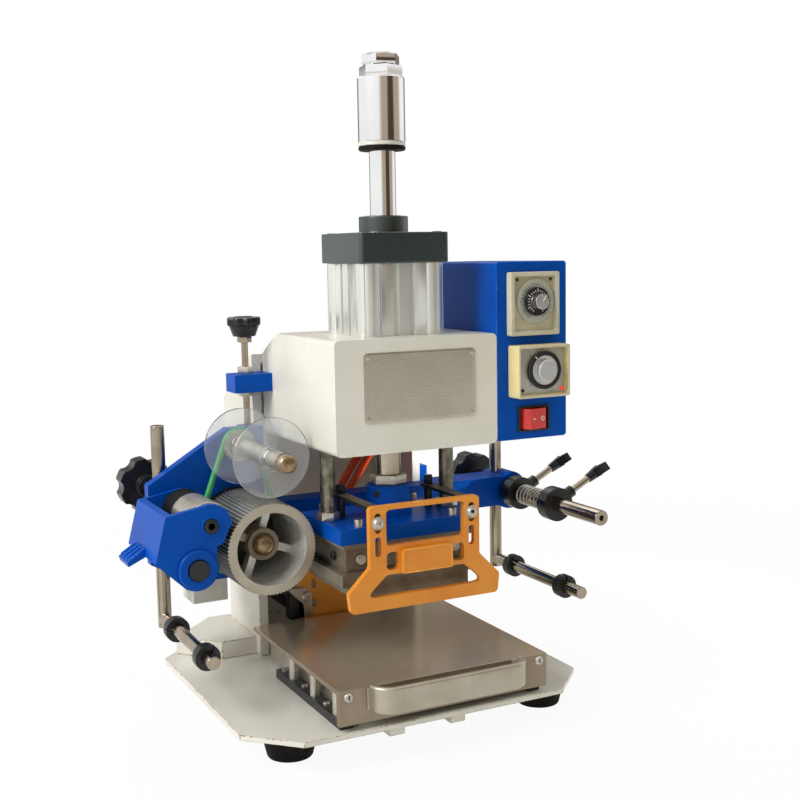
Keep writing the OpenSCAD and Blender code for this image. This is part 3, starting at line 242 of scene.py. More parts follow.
# Black oxide steel: deep charcoal with a soft oily sheen
BLACK_STEEL = surface("black_oxide_steel", "#202122", "#2a2b2c", 16, (0.3, 0.46), (0.9, 0.9, 0.9), 0.015,
                      ("#4b4c4d", 4, 0.08), metallic=0.35)
# Moulded phenolic: black, hard and shiny, with dull flow patches
PHENOLIC = surface("moulded_black_phenolic", "#161617", "#202021", 12, (0.2, 0.36), (0.8, 0.8, 0.8), 0.02,
                   ("#3a3a3b", 3, 0.05), specular_ior_level=0.35)
# Rubber: dull black with grey dust
RUBBER = surface("black_rubber", "#0c0b0a", "#141210", 14, (0.6, 0.8), (1.4, 1.4, 1.4), 0.06,
                 ("#3a362f", 6, 0.08), specular_ior_level=0.15)
# Moulded ABS: warm cream with a fine spark-eroded tooth
CREAM = surface("cream_abs", "#e6d89e", "#dccb8c", 25, (0.36, 0.5), (0.5, 0.5, 0.5), 0.02,
                ("#b7a983", 6, 0.05))
# Champagne panel: satin gold-grey lacquer on thin aluminium
CHAMPAGNE = surface("champagne_lacquered_panel", "#bbb391", "#aaa282", 14, (0.3, 0.42), (18, 0.4, 0.4), 0.006,
                    metallic=0.35)
# Grey ABS: a matt putty-coloured moulding
PUTTY = surface("putty_abs", "#cdc7b2", "#c0baa4", 22, (0.38, 0.52), (0.5, 0.5, 0.5), 0.02, ("#a8a18b", 6, 0.05))
# Silver panel: satin grey lacquer on thin aluminium
SILVER = surface("silver_lacquered_panel", "#b9b4ab", "#a9a49a", 14, (0.3, 0.42), (18, 0.4, 0.4), 0.006,
                 metallic=0.4)
# Polycarbonate rocker: clear-toned red with a polished skin
RED = surface("red_polycarbonate", "#d22a22", "#c01f1b", 9, (0.16, 0.26), (0.8, 0.8, 0.8), 0.01, coat_weight=0.3)
# Printing ink: flat and slightly uneven where it was rubbed
WHITE_INK = surface("white_printing_ink", "#e8e6e0", "#cfccc4", 2, (0.5, 0.65), (0.4, 0.4, 0.4), 0.01)
DARK_INK = surface("dark_printing_ink", "#26241f", "#37342d", 2, (0.5, 0.65), (0.4, 0.4, 0.4), 0.01)
# Nylon: waxy white
NYLON = surface("white_nylon", "#d9d7cf", "#cbc8be", 6, (0.4, 0.5), (0.7, 0.7, 0.7), 0.01,
                subsurface_weight=0.1, subsurface_scale=0.002)
# Pressed mica board: grey-brown fibre with dark flecks
MICA = surface("pressed_mica_board", "#8d8578", "#776e60", 6, (0.6, 0.75), (3, 3, 0.4), 0.08,
               ("#4e473c", 2, 0.22))
# Sintered bronze: dull gold with open pores
BRONZE = surface("sintered_bronze", "#a97c42", "#8c6330", 8, (0.35, 0.5), (0.6, 0.6, 0.6), 0.02,
                 ("#4d381d", 1.2, 0.12), metallic=0.9)
# Aged brass: brown-gold, worn bright on its crown
BRASS = surface("aged_brass", "#a08a6c", "#7d684e", 5, (0.22, 0.38), (0.8, 0.8, 0.8), 0.015,
                ("#4d3f2e", 2, 0.12), metallic=0.9)
# Polyurethane: a soft bright skin, a little see-through at the rim
HOSE = surface("orange_polyurethane_tube", "#ff5e2a", "#f65020", 14, (0.22, 0.32), (0.9, 0.9, 0.9), 0.01,
               subsurface_weight=0.15, subsurface_scale=0.002)
BELT = surface("green_polyurethane_cord", "#3fa968", "#2f9457", 12, (0.3, 0.44), (0.7, 0.7, 0.7), 0.015,
               subsurface_weight=0.15, subsurface_scale=0.002)
# Lamp lenses
LAMP = surface("red_lamp_lens", "#ff3a2a", "#e0261a", 3, (0.12, 0.2), (0.6, 0.6, 0.6), 0.005,
               emission_color=linear("#ff2a18"), emission_strength=0.6)
DARK_LAMP = surface("unlit_lamp_lens", "#43201c", "#2f1816", 3, (0.12, 0.2), (0.6, 0.6, 0.6), 0.005)
# Cast acrylic: clear with a faint cool tint and hairline scuffs
ACRYLIC = surface("clear_cast_acrylic", "#fbfcfc", "#f3f6f6", 20, (0.02, 0.07), (9, 9, 0.6), 0.002,
                  transmission_weight=0.9, ior=1.49)


# Shaping

# Degrees above which an edge is sharp and below which two faces are one, and metres within which points are one
SHARP_EDGE, FLAT_FACE, WELD = 32, 0.6, 2e-6
# Sides of a round outline, of a small one and of a fine one
SIDES, SMALL_SIDES, FINE_SIDES = 56, 20, 96


def settled(bm):
    """Closes the seams and poles of a new shape and turns its faces outwards."""
    bmesh.ops.remove_doubles(bm, verts=bm.verts, dist=WELD)
    bmesh.ops.recalc_face_normals(bm, faces=bm.faces)


def placed(thing, body, nodes):
    """Puts an object in the scene, to ride on a body and stand for the named CAD nodes."""
    bpy.context.scene.collection.objects.link(thing)
    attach(thing, body)
    if nodes:
        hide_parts(*nodes)
    return thing


def piece(name, bm, materials, body, nodes=(), smooth=SHARP_EDGE):
    """Finishes a shape as one piece."""
    mesh = bpy.data.meshes.new(name)
    bm.to_mesh(mesh)
    bm.free()
    for material in materials if isinstance(materials, list) else [materials]:
        mesh.materials.append(material)
    mesh.shade_smooth()
    mesh.set_sharp_from_angle(angle=radians(smooth))
    return placed(bpy.data.objects.new(name, mesh), body, nodes)


def made(name, shapes, material, body, nodes=()):
    """Makes a piece from a list of (shape function, arguments...)."""
    bm = bmesh.new()
    for shape, *sizes in shapes:
        shape(bm, *sizes)
    settled(bm)
    piece(name, bm, material, body, nodes)


def broken(bm, edges, reach, segments=2, **settings):
    """Breaks edges with a round bevel that reaches some millimetres."""
    bmesh.ops.bevel(bm, geom=edges, offset=reach / 1000, offset_type="OFFSET", affect="EDGES", segments=segments,
                    profile=0.5, material=-1, **settings)


def softened(node, edge, materials, edge_wear_and_sheen=None, choose=None, segments=2, smooth=SHARP_EDGE, corner=0):
    """A copy of a CAD solid with broken edges that catch the light, in place of the solid.
    The edge finish shows wear, and on blue and orange also a painted highlight. choose gives a face's material from
    its place on the machine.
    corner rounds the corners of its front outline first."""
    solid = frame["nodes"][node]
    bm = bmesh.new()
    bm.from_mesh(solid.data)
    bmesh.ops.remove_doubles(bm, verts=bm.verts, dist=WELD)
    bmesh.ops.dissolve_limit(bm, angle_limit=radians(FLAT_FACE), verts=bm.verts, edges=bm.edges,
                             use_dissolve_boundaries=False)
    if corner:
        turns = [e for e in bm.edges if abs((e.verts[0].co - e.verts[1].co).normalized().y) > 0.99
                 and e.calc_face_angle(0) > radians(SHARP_EDGE)]
        for e in turns:
            broken(bm, [e], corner * tan(e.calc_face_angle(0) / 2), 5, clamp_overlap=True)
    for face in bm.faces:
        face.material_index = choose(on_machine(face.calc_center_median())) if choose else 0
    finishes = list(materials) if isinstance(materials, list) else [materials]
    if edge_wear_and_sheen:
        finishes.append(edge_wear_and_sheen)
    copy = piece(node + "_finish", bm, finishes, solid["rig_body"], [node], smooth)
    if edge:
        bevel = copy.modifiers.new("broken_edges", "BEVEL")
        bevel.width = edge / 1000
        bevel.segments = segments
        bevel.limit_method = "ANGLE"
        bevel.angle_limit = radians(SHARP_EDGE)
        bevel.harden_normals = True
        # The bevel's faces take the edge finish: wear, and on blue and orange a painted highlight
        bevel.material = len(finishes) - 1 if edge_wear_and_sheen else -1


def facing(spot, out):
    """Stands a shape's own Z along out, at a place on the machine."""
    return Matrix.Translation(at(*spot)) @ out.to_track_quat("Z", "Y").to_matrix().to_4x4()


def turned(bm, outline, spot, out, steps=SIDES):
    """Spins an outline of (radius, distance along out) round an axis through a place."""
    centre = at(*spot)
    side = out.orthogonal().normalized()
    points = [bm.verts.new(centre + (side * r + out * along) / 1000) for r, along in outline]
    lines = [bm.edges.new(pair) for pair in zip(points, points[1:])]
    bmesh.ops.spin(bm, geom=points + lines, cent=centre, axis=out, angle=2 * pi, steps=steps, use_merge=True)


def bar(bm, radius, spot, out, length, edge=0.6):
    """A round bar with chamfered ends."""
    turned(bm, [(0, 0), (radius - edge, 0), (radius, edge), (radius, length - edge), (radius - edge, length),
                (0, length)], spot, out)


def ring(bm, inner, outer, spot, out, length, edge=0.4):
    """A ring with broken edges."""
    turned(bm, [(inner, 0), (outer - edge, 0), (outer, edge), (outer, length - edge), (outer - edge, length),
                (inner, length), (inner, 0)], spot, out)


def block(bm, low, high, edge=0.6):
    """A box between two corners on the machine, with broken edges."""
    low, high = at(*low), at(*high)
    cube = bmesh.ops.create_cube(bm, size=1, matrix=Matrix.Translation((low + high) / 2)
                                 @ Matrix.Diagonal((*(high - low), 1)))
    broken(bm, list({e for v in cube["verts"] for e in v.link_edges}), edge)


def drawn_up(bm, circle, out, height, edge):
    """Draws a flat capped outline up along out and breaks the edges of its two ends."""
    base = list({f for v in circle for f in v.link_faces})
    grown = bmesh.ops.extrude_face_region(bm, geom=base, use_keep_orig=True)["geom"]
    top = [g for g in grown if isinstance(g, bmesh.types.BMVert)]
    bmesh.ops.translate(bm, verts=top, vec=out * height / 1000)
    rim = {e for v in circle for e in v.link_edges if e.other_vert(v) in circle}
    rim |= {e for v in top for e in v.link_edges if e.other_vert(v) in top}
    broken(bm, list(rim), edge)


def hex_nut(bm, radius, spot, out, height, turn=0):
    """A hexagon nut with broken ends, turned round its axis by some degrees."""
    circle = bmesh.ops.create_circle(bm, cap_ends=True, segments=6, radius=radius / 1000,
                                     matrix=facing(spot, out) @ Matrix.Rotation(radians(turn), 4, "Z"))["verts"]
    drawn_up(bm, circle, out, height, radius * 0.09)


def lobed(bm, radius, lobes, dip, spot, out, height, edge):
    """A hand knob's rim: a round outline with dips between its lobes."""
    lobe_steps = 10
    circle = bmesh.ops.create_circle(bm, cap_ends=True, segments=lobes * lobe_steps, radius=radius / 1000,
                                     matrix=facing(spot, out))["verts"]
    centre = at(*spot)
    for i, v in enumerate(circle):
        inward = dip / radius * (0.5 - 0.5 * cos(2 * pi * i / lobe_steps)) ** 2
        v.co = centre + (v.co - centre) * (1 - inward)
    drawn_up(bm, circle, out, height, edge)


# By drive, in shares of a screw head's height and radius: shoulder height, crown radius, drive radius; corners
DRIVES = {"hex": (0.82, 0.92, 0.62, 6), "cross": (0.45, 0.82, 0.6, 8)}
CROSS_WAIST, DRIVE_LIP, DRIVE_DEPTH = 0.3, 0.86, 0.6


def screw(bm, radius, spot, out, height, drive="hex"):
    """A round screw head on a surface, with a hexagon socket or a cross sunk in its top."""
    shoulder, crown, rim, corners = DRIVES[drive]
    top = at(*spot) + out * height / 1000
    before = set(bm.edges)
    turned(bm, [(radius, 0), (radius, height * shoulder), (radius * crown, height * 0.96), (radius * rim, height)],
           spot, out, 24)
    ring_edges = [e for e in bm.edges if e not in before and e.is_boundary
                  and (e.verts[0].co - at(*spot)).dot(out) > 0.99 * height / 1000]
    sunk = bmesh.ops.create_circle(bm, cap_ends=False, segments=corners, radius=radius * rim * DRIVE_LIP / 1000,
                                   matrix=facing((0, 0, 0), out))["verts"]
    bmesh.ops.translate(bm, verts=sunk, vec=at(*spot) - at(0, 0, 0) + out * height / 1000)
    if drive == "cross":
        for v in sunk[::2]:
            v.co = top + (v.co - top) * CROSS_WAIST
    lip = list({e for v in sunk for e in v.link_edges})
    bmesh.ops.bridge_loops(bm, edges=ring_edges + lip)
    wall = bmesh.ops.extrude_edge_only(bm, edges=lip)["geom"]
    floor_corners = [g for g in wall if isinstance(g, bmesh.types.BMVert)]
    bmesh.ops.translate(bm, verts=floor_corners, vec=-out * height * DRIVE_DEPTH / 1000)
    bmesh.ops.edgeloop_fill(bm, edges=[g for g in wall if isinstance(g, bmesh.types.BMEdge)
                                       and all(v in floor_corners for v in g.verts)])


def plate(bm, spot, out, width, height, thick):
    """A small flat mark that lies on a face which looks along out."""
    bmesh.ops.create_cube(bm, size=1, matrix=facing(spot, out)
                          @ Matrix.Diagonal((width / 1000, height / 1000, thick / 1000, 1)))


TICK_RISE = 0.2


def tick(bm, spot, turn, inner, outer, width):
    """One mark of a dial that looks to the front, turned by some degrees from upright."""
    size = Vector((width, TICK_RISE, outer - inner)) / 1000
    bmesh.ops.create_cube(bm, size=1, matrix=Matrix.Translation(at(*spot)) @ Matrix.Rotation(radians(turn), 4, "Y")
                          @ Matrix.Translation((0, 0, (inner + outer) / 2000)) @ Matrix.Diagonal((*size, 1)))


def marks(spot, half_turn, step, inner, short, long, long_step, width):
    """A ring of ticks, long ones among short ones, step and long_step degrees apart."""
    return [(tick, spot, turn, inner, short if turn % long_step else long, width)
            for turn in range(-half_turn, half_turn + 1, step)]


def sheet(bm, outlines, front_y, thick, edge):
    """A flat sheet from its outline and the outlines of its holes, in x and z, drawn back from front_y."""
    loops = []
    for outline in outlines:
        corners = [bm.verts.new(at(x, front_y, z)) for x, z in outline]
        loops += [bm.edges.new(pair) for pair in zip(corners, corners[1:] + corners[:1])]
    bmesh.ops.triangle_fill(bm, edges=loops, use_beauty=True, use_dissolve=True)
    drawn_up(bm, {v for e in loops for v in e.verts}, BACK, thick, edge)


def wire(name, points, radius, material, body, nodes, closed=False):
    """A round wire, tube or belt along points in metres."""
    curve = bpy.data.curves.new(name, "CURVE")
    curve.dimensions = "3D"
    curve.bevel_depth = radius / 1000
    curve.bevel_resolution = 5
    curve.use_fill_caps = not closed
    line = curve.splines.new("POLY")
    line.points.add(len(points) - 1)
    for point, place in zip(line.points, points):
        point.co = (*place, 1)
    line.use_cyclic_u = closed
    line.use_smooth = True
    curve.materials.append(material)
    return placed(bpy.data.objects.new(name, curve), body, nodes)


# Air tubes, from the head's underside back to the column's wall

TUBE_R, TUBE_GAP, TUBE_STEPS = 4, 9.4, 8
# The middle between the two tubes, and how far each lies before or behind it
TUBE_ROUTE = [(38, 168, 269, 3), (35, 174.4, 250, 3), (26.5, 184, 231, 3), (15, 190.4, 209, 3), (4, 199.2, 189, 3),
              (-5, 216, 172, 2), (-9, 238.4, 162, 0.8), (-10, 256, 159, 0)]


def tube_place(side, x, y, z, apart):
    """One tube's place at a point of the route."""
    return x + side * TUBE_GAP / 2, y - side * apart, z


def smooth_route(knots, steps):
    """Points of a smooth line through the knots."""
    knots = [knots[0], *knots, knots[-1]]
    points = []
    for a, b, c, d in zip(knots, knots[1:], knots[2:], knots[3:]):
        for k in range(steps):
            t = k / steps
            points.append(0.5 * (2 * b + (c - a) * t + (2 * a - 5 * b + 4 * c - d) * t * t
                                 + (3 * b - a - 3 * c + d) * t ** 3))
    return points + [knots[-1]]


for name, side in (("left", -1), ("right", 1)):
    route = smooth_route([at(*tube_place(side, *knot)) for knot in TUBE_ROUTE], TUBE_STEPS)
    hose = wire(f"air_tube_{name}", route, TUBE_R, HOSE, "frame", ["air_tubes"])

# Push-in fittings of the tubes
made("air_fittings", [shape for side in (-1, 1) for shape in (
    (ring, TUBE_R + 0.1, 5.3, tube_place(side, *TUBE_ROUTE[0]), DOWN, 5),
    (ring, TUBE_R + 0.1, 4.65, tube_place(side, *TUBE_ROUTE[-1]), FRONT, 5))], PHENOLIC, "frame")


# Frame: base, feet, column, head and cylinder

softened("base_plate", 0.9, WHITE, WHITE_EDGE)
softened("rubber_feet", 1.6, RUBBER)
softened("frame_column", 1.2, WHITE, WHITE_EDGE)
softened("head_housing", 1.2, WHITE, WHITE_EDGE)
softened("guide_bushes", 0.4, BRONZE)
softened("cylinder_barrel", 0.5, BARREL)
softened("cylinder_cap", 1.0, DARK)
softened("height_block", 0.9, BLUE, BLUE_EDGE_WEAR_AND_SHEEN)
softened("right_arm", 1.0, BLUE, BLUE_EDGE_WEAR_AND_SHEEN)
softened("control_box", 1.0, BLUE, BLUE_EDGE_WEAR_AND_SHEEN)

# Bare nameplate with a raised border and four rivets
PLATE_MID, PLATE_W, PLATE_H, PLATE_T, PLATE_CORNER = (2, 327), 111, 62, 0.8, 4
BORDER_W, BORDER_SLOPE, BORDER_RISE = 1.8, 0.3, 0.25
RIVET = [(2.2, 0), (2.1, 0.25), (1.4, 0.6), (0, 0.75)]


def over(middle, y, dx=0, dz=0):
    """The place at a depth y, beside a middle that is given in x and z."""
    return middle[0] + dx, y, middle[1] + dz


def plate_corner(sx, sz):
    """The middle of a rounded corner of the nameplate, in x and z."""
    return PLATE_MID[0] + sx * (PLATE_W / 2 - PLATE_CORNER), PLATE_MID[1] + sz * (PLATE_H / 2 - PLATE_CORNER)


plate_outline = []
for sx, sz, start in ((1, 1, 0), (-1, 1, 90), (-1, -1, 180), (1, -1, 270)):
    x, z = plate_corner(sx, sz)
    plate_outline += [(x + PLATE_CORNER * cos(radians(turn)), z + PLATE_CORNER * sin(radians(turn)))
                      for turn in range(start, start + 91, 15)]
bm = bmesh.new()
sheet(bm, [plate_outline], -PLATE_T, PLATE_T, 0.2)
settled(bm)
plate_face = [f for f in bm.faces if f.normal.dot(FRONT) > 0.99]
bmesh.ops.inset_region(bm, faces=plate_face, thickness=BORDER_W / 1000)
bmesh.ops.inset_region(bm, faces=plate_face, thickness=BORDER_SLOPE / 1000, depth=-BORDER_RISE / 1000)
piece("nameplate_finish", bm, BRUSHED, "frame", ["nameplate"])
made("nameplate_rivets", [(turned, RIVET, over(plate_corner(sx, sz), -0.75), FRONT, SMALL_SIDES)
                          for sx in (-1, 1) for sz in (-1, 1)], STEEL, "frame")

# Cylinder: cap screws sunk in the corners, and the rod's wiper
ROD_Y, CAP_SCREW, CAP_TOP, BOSS_TOP = 65, 36, 462, 477
made("cylinder_cap_screws", [(screw, 4.2, (sx * CAP_SCREW, ROD_Y + sy * CAP_SCREW, CAP_TOP), UP, 0.6)
                             for sx in (-1, 1) for sy in (-1, 1)], BLACK_STEEL, "frame")
made("rod_wiper", [(ring, 12.15, 17, (0, ROD_Y, BOSS_TOP), UP, 0.5, 0.2)], RUBBER, "frame")

# Slide rails: black bars with steel studs
RAIL_X, RAIL_TOP = 94, 51
softened("slide_rails", 0.5, [BLACK_STEEL, STEEL], choose=lambda p: int(p.z > RAIL_TOP + 0.5))
made("rail_screws", [(screw, 3, (s * RAIL_X, y, RAIL_TOP), UP, 1.8) for s in (-1, 1) for y in (5, 55, 103)],
     STEEL, "frame")

# Rear slotted sheet, its steel bracket, its black block and strut
REAR_Y, REAR_T = 170, 2
SLOT_X, SLOT_R, SLOT_RUN, SLOT_STEPS = -35, 2.4, 4.5, 24
REAR_SHEET = [(-52, 76), (26, 76), (-52, 135)]
REAR_BRACKET = [(-62, 110), (-47, 110), (-38.5, 104), (-38.5, 79), (-46, 79), (-47, 92), (-62, 107)]
slots = [[(SLOT_X + SLOT_R * cos(2 * pi * k / SLOT_STEPS),
           low + (SLOT_RUN if k < SLOT_STEPS / 2 else 0) + SLOT_R * sin(2 * pi * k / SLOT_STEPS))
          for k in range(SLOT_STEPS)] for low in (89.5, 109.5)]
made("rear_guard_sheet", [(sheet, [REAR_SHEET, *slots], REAR_Y, REAR_T, 0.3)], ORANGE, "frame",
     ["rear_guard"])
made("rear_guard_bracket", [(sheet, [REAR_BRACKET], REAR_Y - REAR_T, REAR_T, 0.3)], CAST, "frame",
     ["rear_guard"])
made("rear_guard_block", [(block, (-61, REAR_Y, 77), (-45, REAR_Y + 14, 104), 1),
                          (block, (-58, REAR_Y + 13, 84), (-48, 256, 96), 0.8)],
     BLACK_STEEL, "frame", ["rear_guard"])
made("rear_guard_screw", [(screw, 5.2, (-43.6, REAR_Y - REAR_T, 100.6), FRONT, 3, "cross")],
     STEEL, "frame")

# Right arm: flange screws on its plate
made("right_arm_screws", [(screw, 4.5, (100, y, z), RIGHT, 4.2) for y in (196, 238) for z in (167, 211)],
     BLACK_STEEL, "frame")

# Height block: the nuts that the height screw runs through
HEIGHT_SCREW = (-103, 163)
made("height_block_nuts", [(hex_nut, 7.5, (*HEIGHT_SCREW, 331), UP, 6.5),
                           (hex_nut, 7.5, (*HEIGHT_SCREW, 313.5), DOWN, 4)], STEEL, "frame")


# Control box

COVER_MID, COVER_Y = (118.5, 352), 152
softened("control_box_back", 0.6, [BLUE, PHENOLIC], choose=lambda p: int(p.y > COVER_Y + 0.2))
made("back_cover_screws", [(screw, 3.2, over(COVER_MID, COVER_Y, sx * 32, sz * 76), BACK, 1.8, "cross")
                           for sx in (-1, 1) for sz in (-1, 1)], STEEL, "frame")


def panel(bm, middle, front_y, width, height):
    """A thin face let into the front of a unit."""
    block(bm, over(middle, front_y, -width / 2, -height / 2),
          over(middle, front_y + 0.2, width / 2, height / 2), 0.05)


# Timer: a putty frame, a sunk champagne face, a ring of marks, two lamps
TIMER, TIMER_FACE = (117.5, 395.5), -5.1
# The dial's middle, and the fronts of its clear skirt, black ring and bright knob
TIMER_DIAL, SKIRT_FRONT, RING_FRONT, KNOB_FRONT = (118.5, 397.5), -7.45, -10.45, -18.45
SMALL_LENS = [(1.7, 0), (1.6, 0.6), (1, 1.1), (0, 1.3)]
softened("timer_unit", 1.2, PUTTY, segments=3)
made("timer_face", [(panel, TIMER, TIMER_FACE, 44, 50)], CHAMPAGNE, "frame")
made("timer_lamps", [(turned, SMALL_LENS, over(TIMER, TIMER_FACE, s * 18, 22), FRONT, SMALL_SIDES)
                     for s in (-1, 1)], DARK_LAMP, "frame")
softened("timer_dial", 0.5, [ACRYLIC, PHENOLIC, ALUMINIUM],
         choose=lambda p: (p.y < SKIRT_FRONT - 0.15) + (p.y < RING_FRONT - 0.15))
made("timer_dial_marks", marks(over(TIMER_DIAL, RING_FRONT), 150, 15, 8.6, 10.6, 12, 60, 0.6)
     + [(tick, over(TIMER_DIAL, KNOB_FRONT), 35, 0, 6, 1.0)], WHITE_INK, "timer_knob")
made("timer_skirt_marks", marks(over(TIMER_DIAL, SKIRT_FRONT), 150, 12, 14, 16.5, 18.5, 60, 0.5),
     DARK_INK, "timer_knob")

# Temperature controller: a cream housing with a putty rim, a silver face, a ring of marks and two lamps
TEMP, TEMP_RIM, TEMP_FACE = (120.5, 334), -18.3, -13.6
TEMP_DIAL, TEMP_DIAL_BACK, TEMP_RING = (121.5, 335), -13.9, 4
TEMP_KNOB = [(0, 0), (13.75, 0), (13.75, 3.4), (13.4, 3.7), (10, 3.7), (10, 8.3), (9.3, 9), (0, 9)]
LENS = [(1.8, 0), (1.7, 0.6), (1.1, 1.2), (0, 1.4)]
softened("temperature_unit", 0.9, [CREAM, PUTTY], choose=lambda p: int(p.y < TEMP_RIM), segments=3)
made("temperature_face", [(panel, TEMP, TEMP_FACE, 50.8, 42.8)], SILVER, "frame")
made("temperature_marks", marks(over(TEMP_DIAL, TEMP_FACE - 0.05), 135, 9, 17.8, 19, 20.2, 45, 0.5),
     DARK_INK, "frame")
for name, side, glass in (("temperature_lamp", 1, LAMP), ("temperature_lamp_unlit", -1, DARK_LAMP)):
    made(name, [(turned, LENS, over(TEMP, TEMP_FACE, side * 21, -17), FRONT, SMALL_SIDES)], glass, "frame")
made("temperature_dial_ring", [(ring, 13.8, 17.5, over(TEMP_DIAL, TEMP_DIAL_BACK), FRONT, TEMP_RING, 0.6)],
     PHENOLIC, "temperature_knob", ["temperature_dial"])
made("temperature_dial_knob", [(turned, TEMP_KNOB, over(TEMP_DIAL, TEMP_DIAL_BACK), FRONT)], ALUMINIUM,
     "temperature_knob", ["temperature_dial"])
made("temperature_dial_mark", [(tick, over(TEMP_DIAL, TEMP_DIAL_BACK - TEMP_RING - 0.05), -40, 14, 17, 0.9)],
     WHITE_INK, "temperature_knob")

# Power switch: a black bezel and a red rocker with a bar and a ring on its sloping face
ROCKER, ROCKER_TILT, MARK_REACH, MARK_SIDE = Vector((119.5, 4, 289)), radians(12), 10.2, 5.5
softened("switch_bezel", 0.7, PHENOLIC)
softened("power_rocker", 0.5, RED)
rocker_out = Vector((sin(ROCKER_TILT), -cos(ROCKER_TILT), 0))
rocker_along = Vector((cos(ROCKER_TILT), sin(ROCKER_TILT), 0))
bar_at, ring_at = (ROCKER + rocker_out * MARK_REACH + rocker_along * u for u in (-MARK_SIDE, MARK_SIDE))
made("rocker_marks", [(plate, bar_at, rocker_out, 3.4, 1, 0.3), (ring, 1.4, 2.2, ring_at, rocker_out, 0.2, 0.05)],
     WHITE_INK, "rocker")


# Press: rod, sleeve, platen, heated head and guard

AXIS, ROD_R, ROD_BORE, PISTON_R, SLEEVE_R, COUPLING_R = (0, ROD_Y, 0), 12, 12.05, 29.6, 21.5, 21.5
# Heights on the axis, from the platen to the rod's top
PLATEN_TOP, ROD_FOOT, COUPLING_TOP, ROD_JOIN, PISTON_LOW, PISTON_TOP = 201, 209, 229, 300, 425.2, 432.8
BUMPER_LOW, SLEEVE_FOOT, SLEEVE_LOW, SLEEVE_TOP, ROD_TOP = 536, 540, 543.3, 601, 620.7
STROKE_NUT = 10.3
made("piston_rod_finish", [(turned, [(0, ROD_JOIN), (ROD_R, ROD_JOIN), (ROD_R, PISTON_LOW), (PISTON_R, PISTON_LOW),
                                     (PISTON_R, PISTON_TOP), (ROD_R, PISTON_TOP), (ROD_R, ROD_TOP - 1),
                                     (ROD_R - 1, ROD_TOP), (0, ROD_TOP)], AXIS, UP)],
     CHROME, "press", ["piston_rod"])
made("piston_rod_foot", [(turned, [(0, ROD_FOOT), (ROD_R - 0.8, ROD_FOOT), (ROD_R, ROD_FOOT + 1), (ROD_R, ROD_JOIN),
                                   (0, ROD_JOIN)], AXIS, UP)], NICKEL, "press", ["piston_rod"])
made("stroke_sleeve_finish", [(turned, [(ROD_BORE, SLEEVE_LOW), (SLEEVE_R - 0.6, SLEEVE_LOW),
                                        (SLEEVE_R, SLEEVE_LOW + 0.6), (SLEEVE_R, SLEEVE_TOP - 1.2),
                                        (SLEEVE_R - 1.1, SLEEVE_TOP), (ROD_BORE, SLEEVE_TOP),
                                        (ROD_BORE, SLEEVE_LOW)], AXIS, UP, FINE_SIDES)],
     CHROME, "press", ["stroke_sleeve"])
made("stroke_sleeve_foot", [(ring, ROD_BORE, SLEEVE_R - 0.1, (0, ROD_Y, SLEEVE_FOOT), UP, SLEEVE_LOW - SLEEVE_FOOT,
                             0.5)], NYLON, "press", ["stroke_sleeve"])
made("stroke_bumper_finish", [(ring, ROD_BORE, SLEEVE_R, (0, ROD_Y, BUMPER_LOW), UP, SLEEVE_FOOT - BUMPER_LOW, 1)],
     RUBBER, "press", ["stroke_bumper"])
made("stroke_nuts_finish", [(hex_nut, 20, (0, ROD_Y, SLEEVE_TOP), UP, STROKE_NUT, -8),
                            (hex_nut, 18, (0, ROD_Y, SLEEVE_TOP + STROKE_NUT), UP, 9.6, 22),
                            (turned, [(15.6, 620.6), (15, 621.5), (12.5, 622.2), (0, 622.2)], AXIS, UP)],
     CHROME, "press", ["stroke_nuts"])

GUIDE_X = 62
made("press_nuts_finish", [(hex_nut, 17.5, (0, ROD_Y, COUPLING_TOP), UP, 10, -6.7)]
     + [(hex_nut, 10.6, (s * GUIDE_X, ROD_Y, PLATEN_TOP), UP, 8, 4) for s in (-1, 1)],
     STEEL, "press", ["press_nuts"])
made("rod_coupling_finish", [(turned, [(ROD_BORE, PLATEN_TOP), (COUPLING_R, PLATEN_TOP),
                                       (COUPLING_R, COUPLING_TOP - 2), (COUPLING_R - 1.7, COUPLING_TOP),
                                       (ROD_BORE, COUPLING_TOP), (ROD_BORE, PLATEN_TOP)], AXIS, UP)],
     BLUE, "press", ["rod_coupling"])
SET_SCREW_R = COUPLING_R - 0.2
made("coupling_set_screws", [(screw, 3.2, (SET_SCREW_R * sin(a), ROD_Y - SET_SCREW_R * cos(a), 222.5),
                              Vector((sin(a), -cos(a), 0)), 0.6) for a in (-0.98, 0.98, pi)],
     BLACK_STEEL, "press")
softened("platen", 1.0, BLUE, BLUE_EDGE_WEAR_AND_SHEEN)
made("platen_screws", [(screw, 4, (x, y, PLATEN_TOP), UP, 7) for x in (-50, 46) for y in (25, 105)],
     STEEL, "press")
softened("insulation_plate", 0.4, MICA)
softened("heater_block", 0.6, TARNISHED)
CARTRIDGE = [(4.9, 0), (4.9, 1), (4.4, 1.4), (3, 1.4), (2.8, 0.6), (0, 0.6)]
made("heater_cartridges", [(turned, CARTRIDGE, (s * 48, 26, 170.75), FRONT, 32) for s in (-1, 1)],
     STEEL, "press")
made("heater_side_screws", [(screw, 4, (s * 63, 50, 171), RIGHT * s, 3.4) for s in (-1, 1)],
     BLACK_STEEL, "press")
softened("die_plate", 0.6, TARNISHED)
made("guide_rods_finish", [(bar, 7, (s * GUIDE_X, ROD_Y, 187), UP, 163) for s in (-1, 1)], GUIDE_STEEL, "press",
     ["guide_rods"])

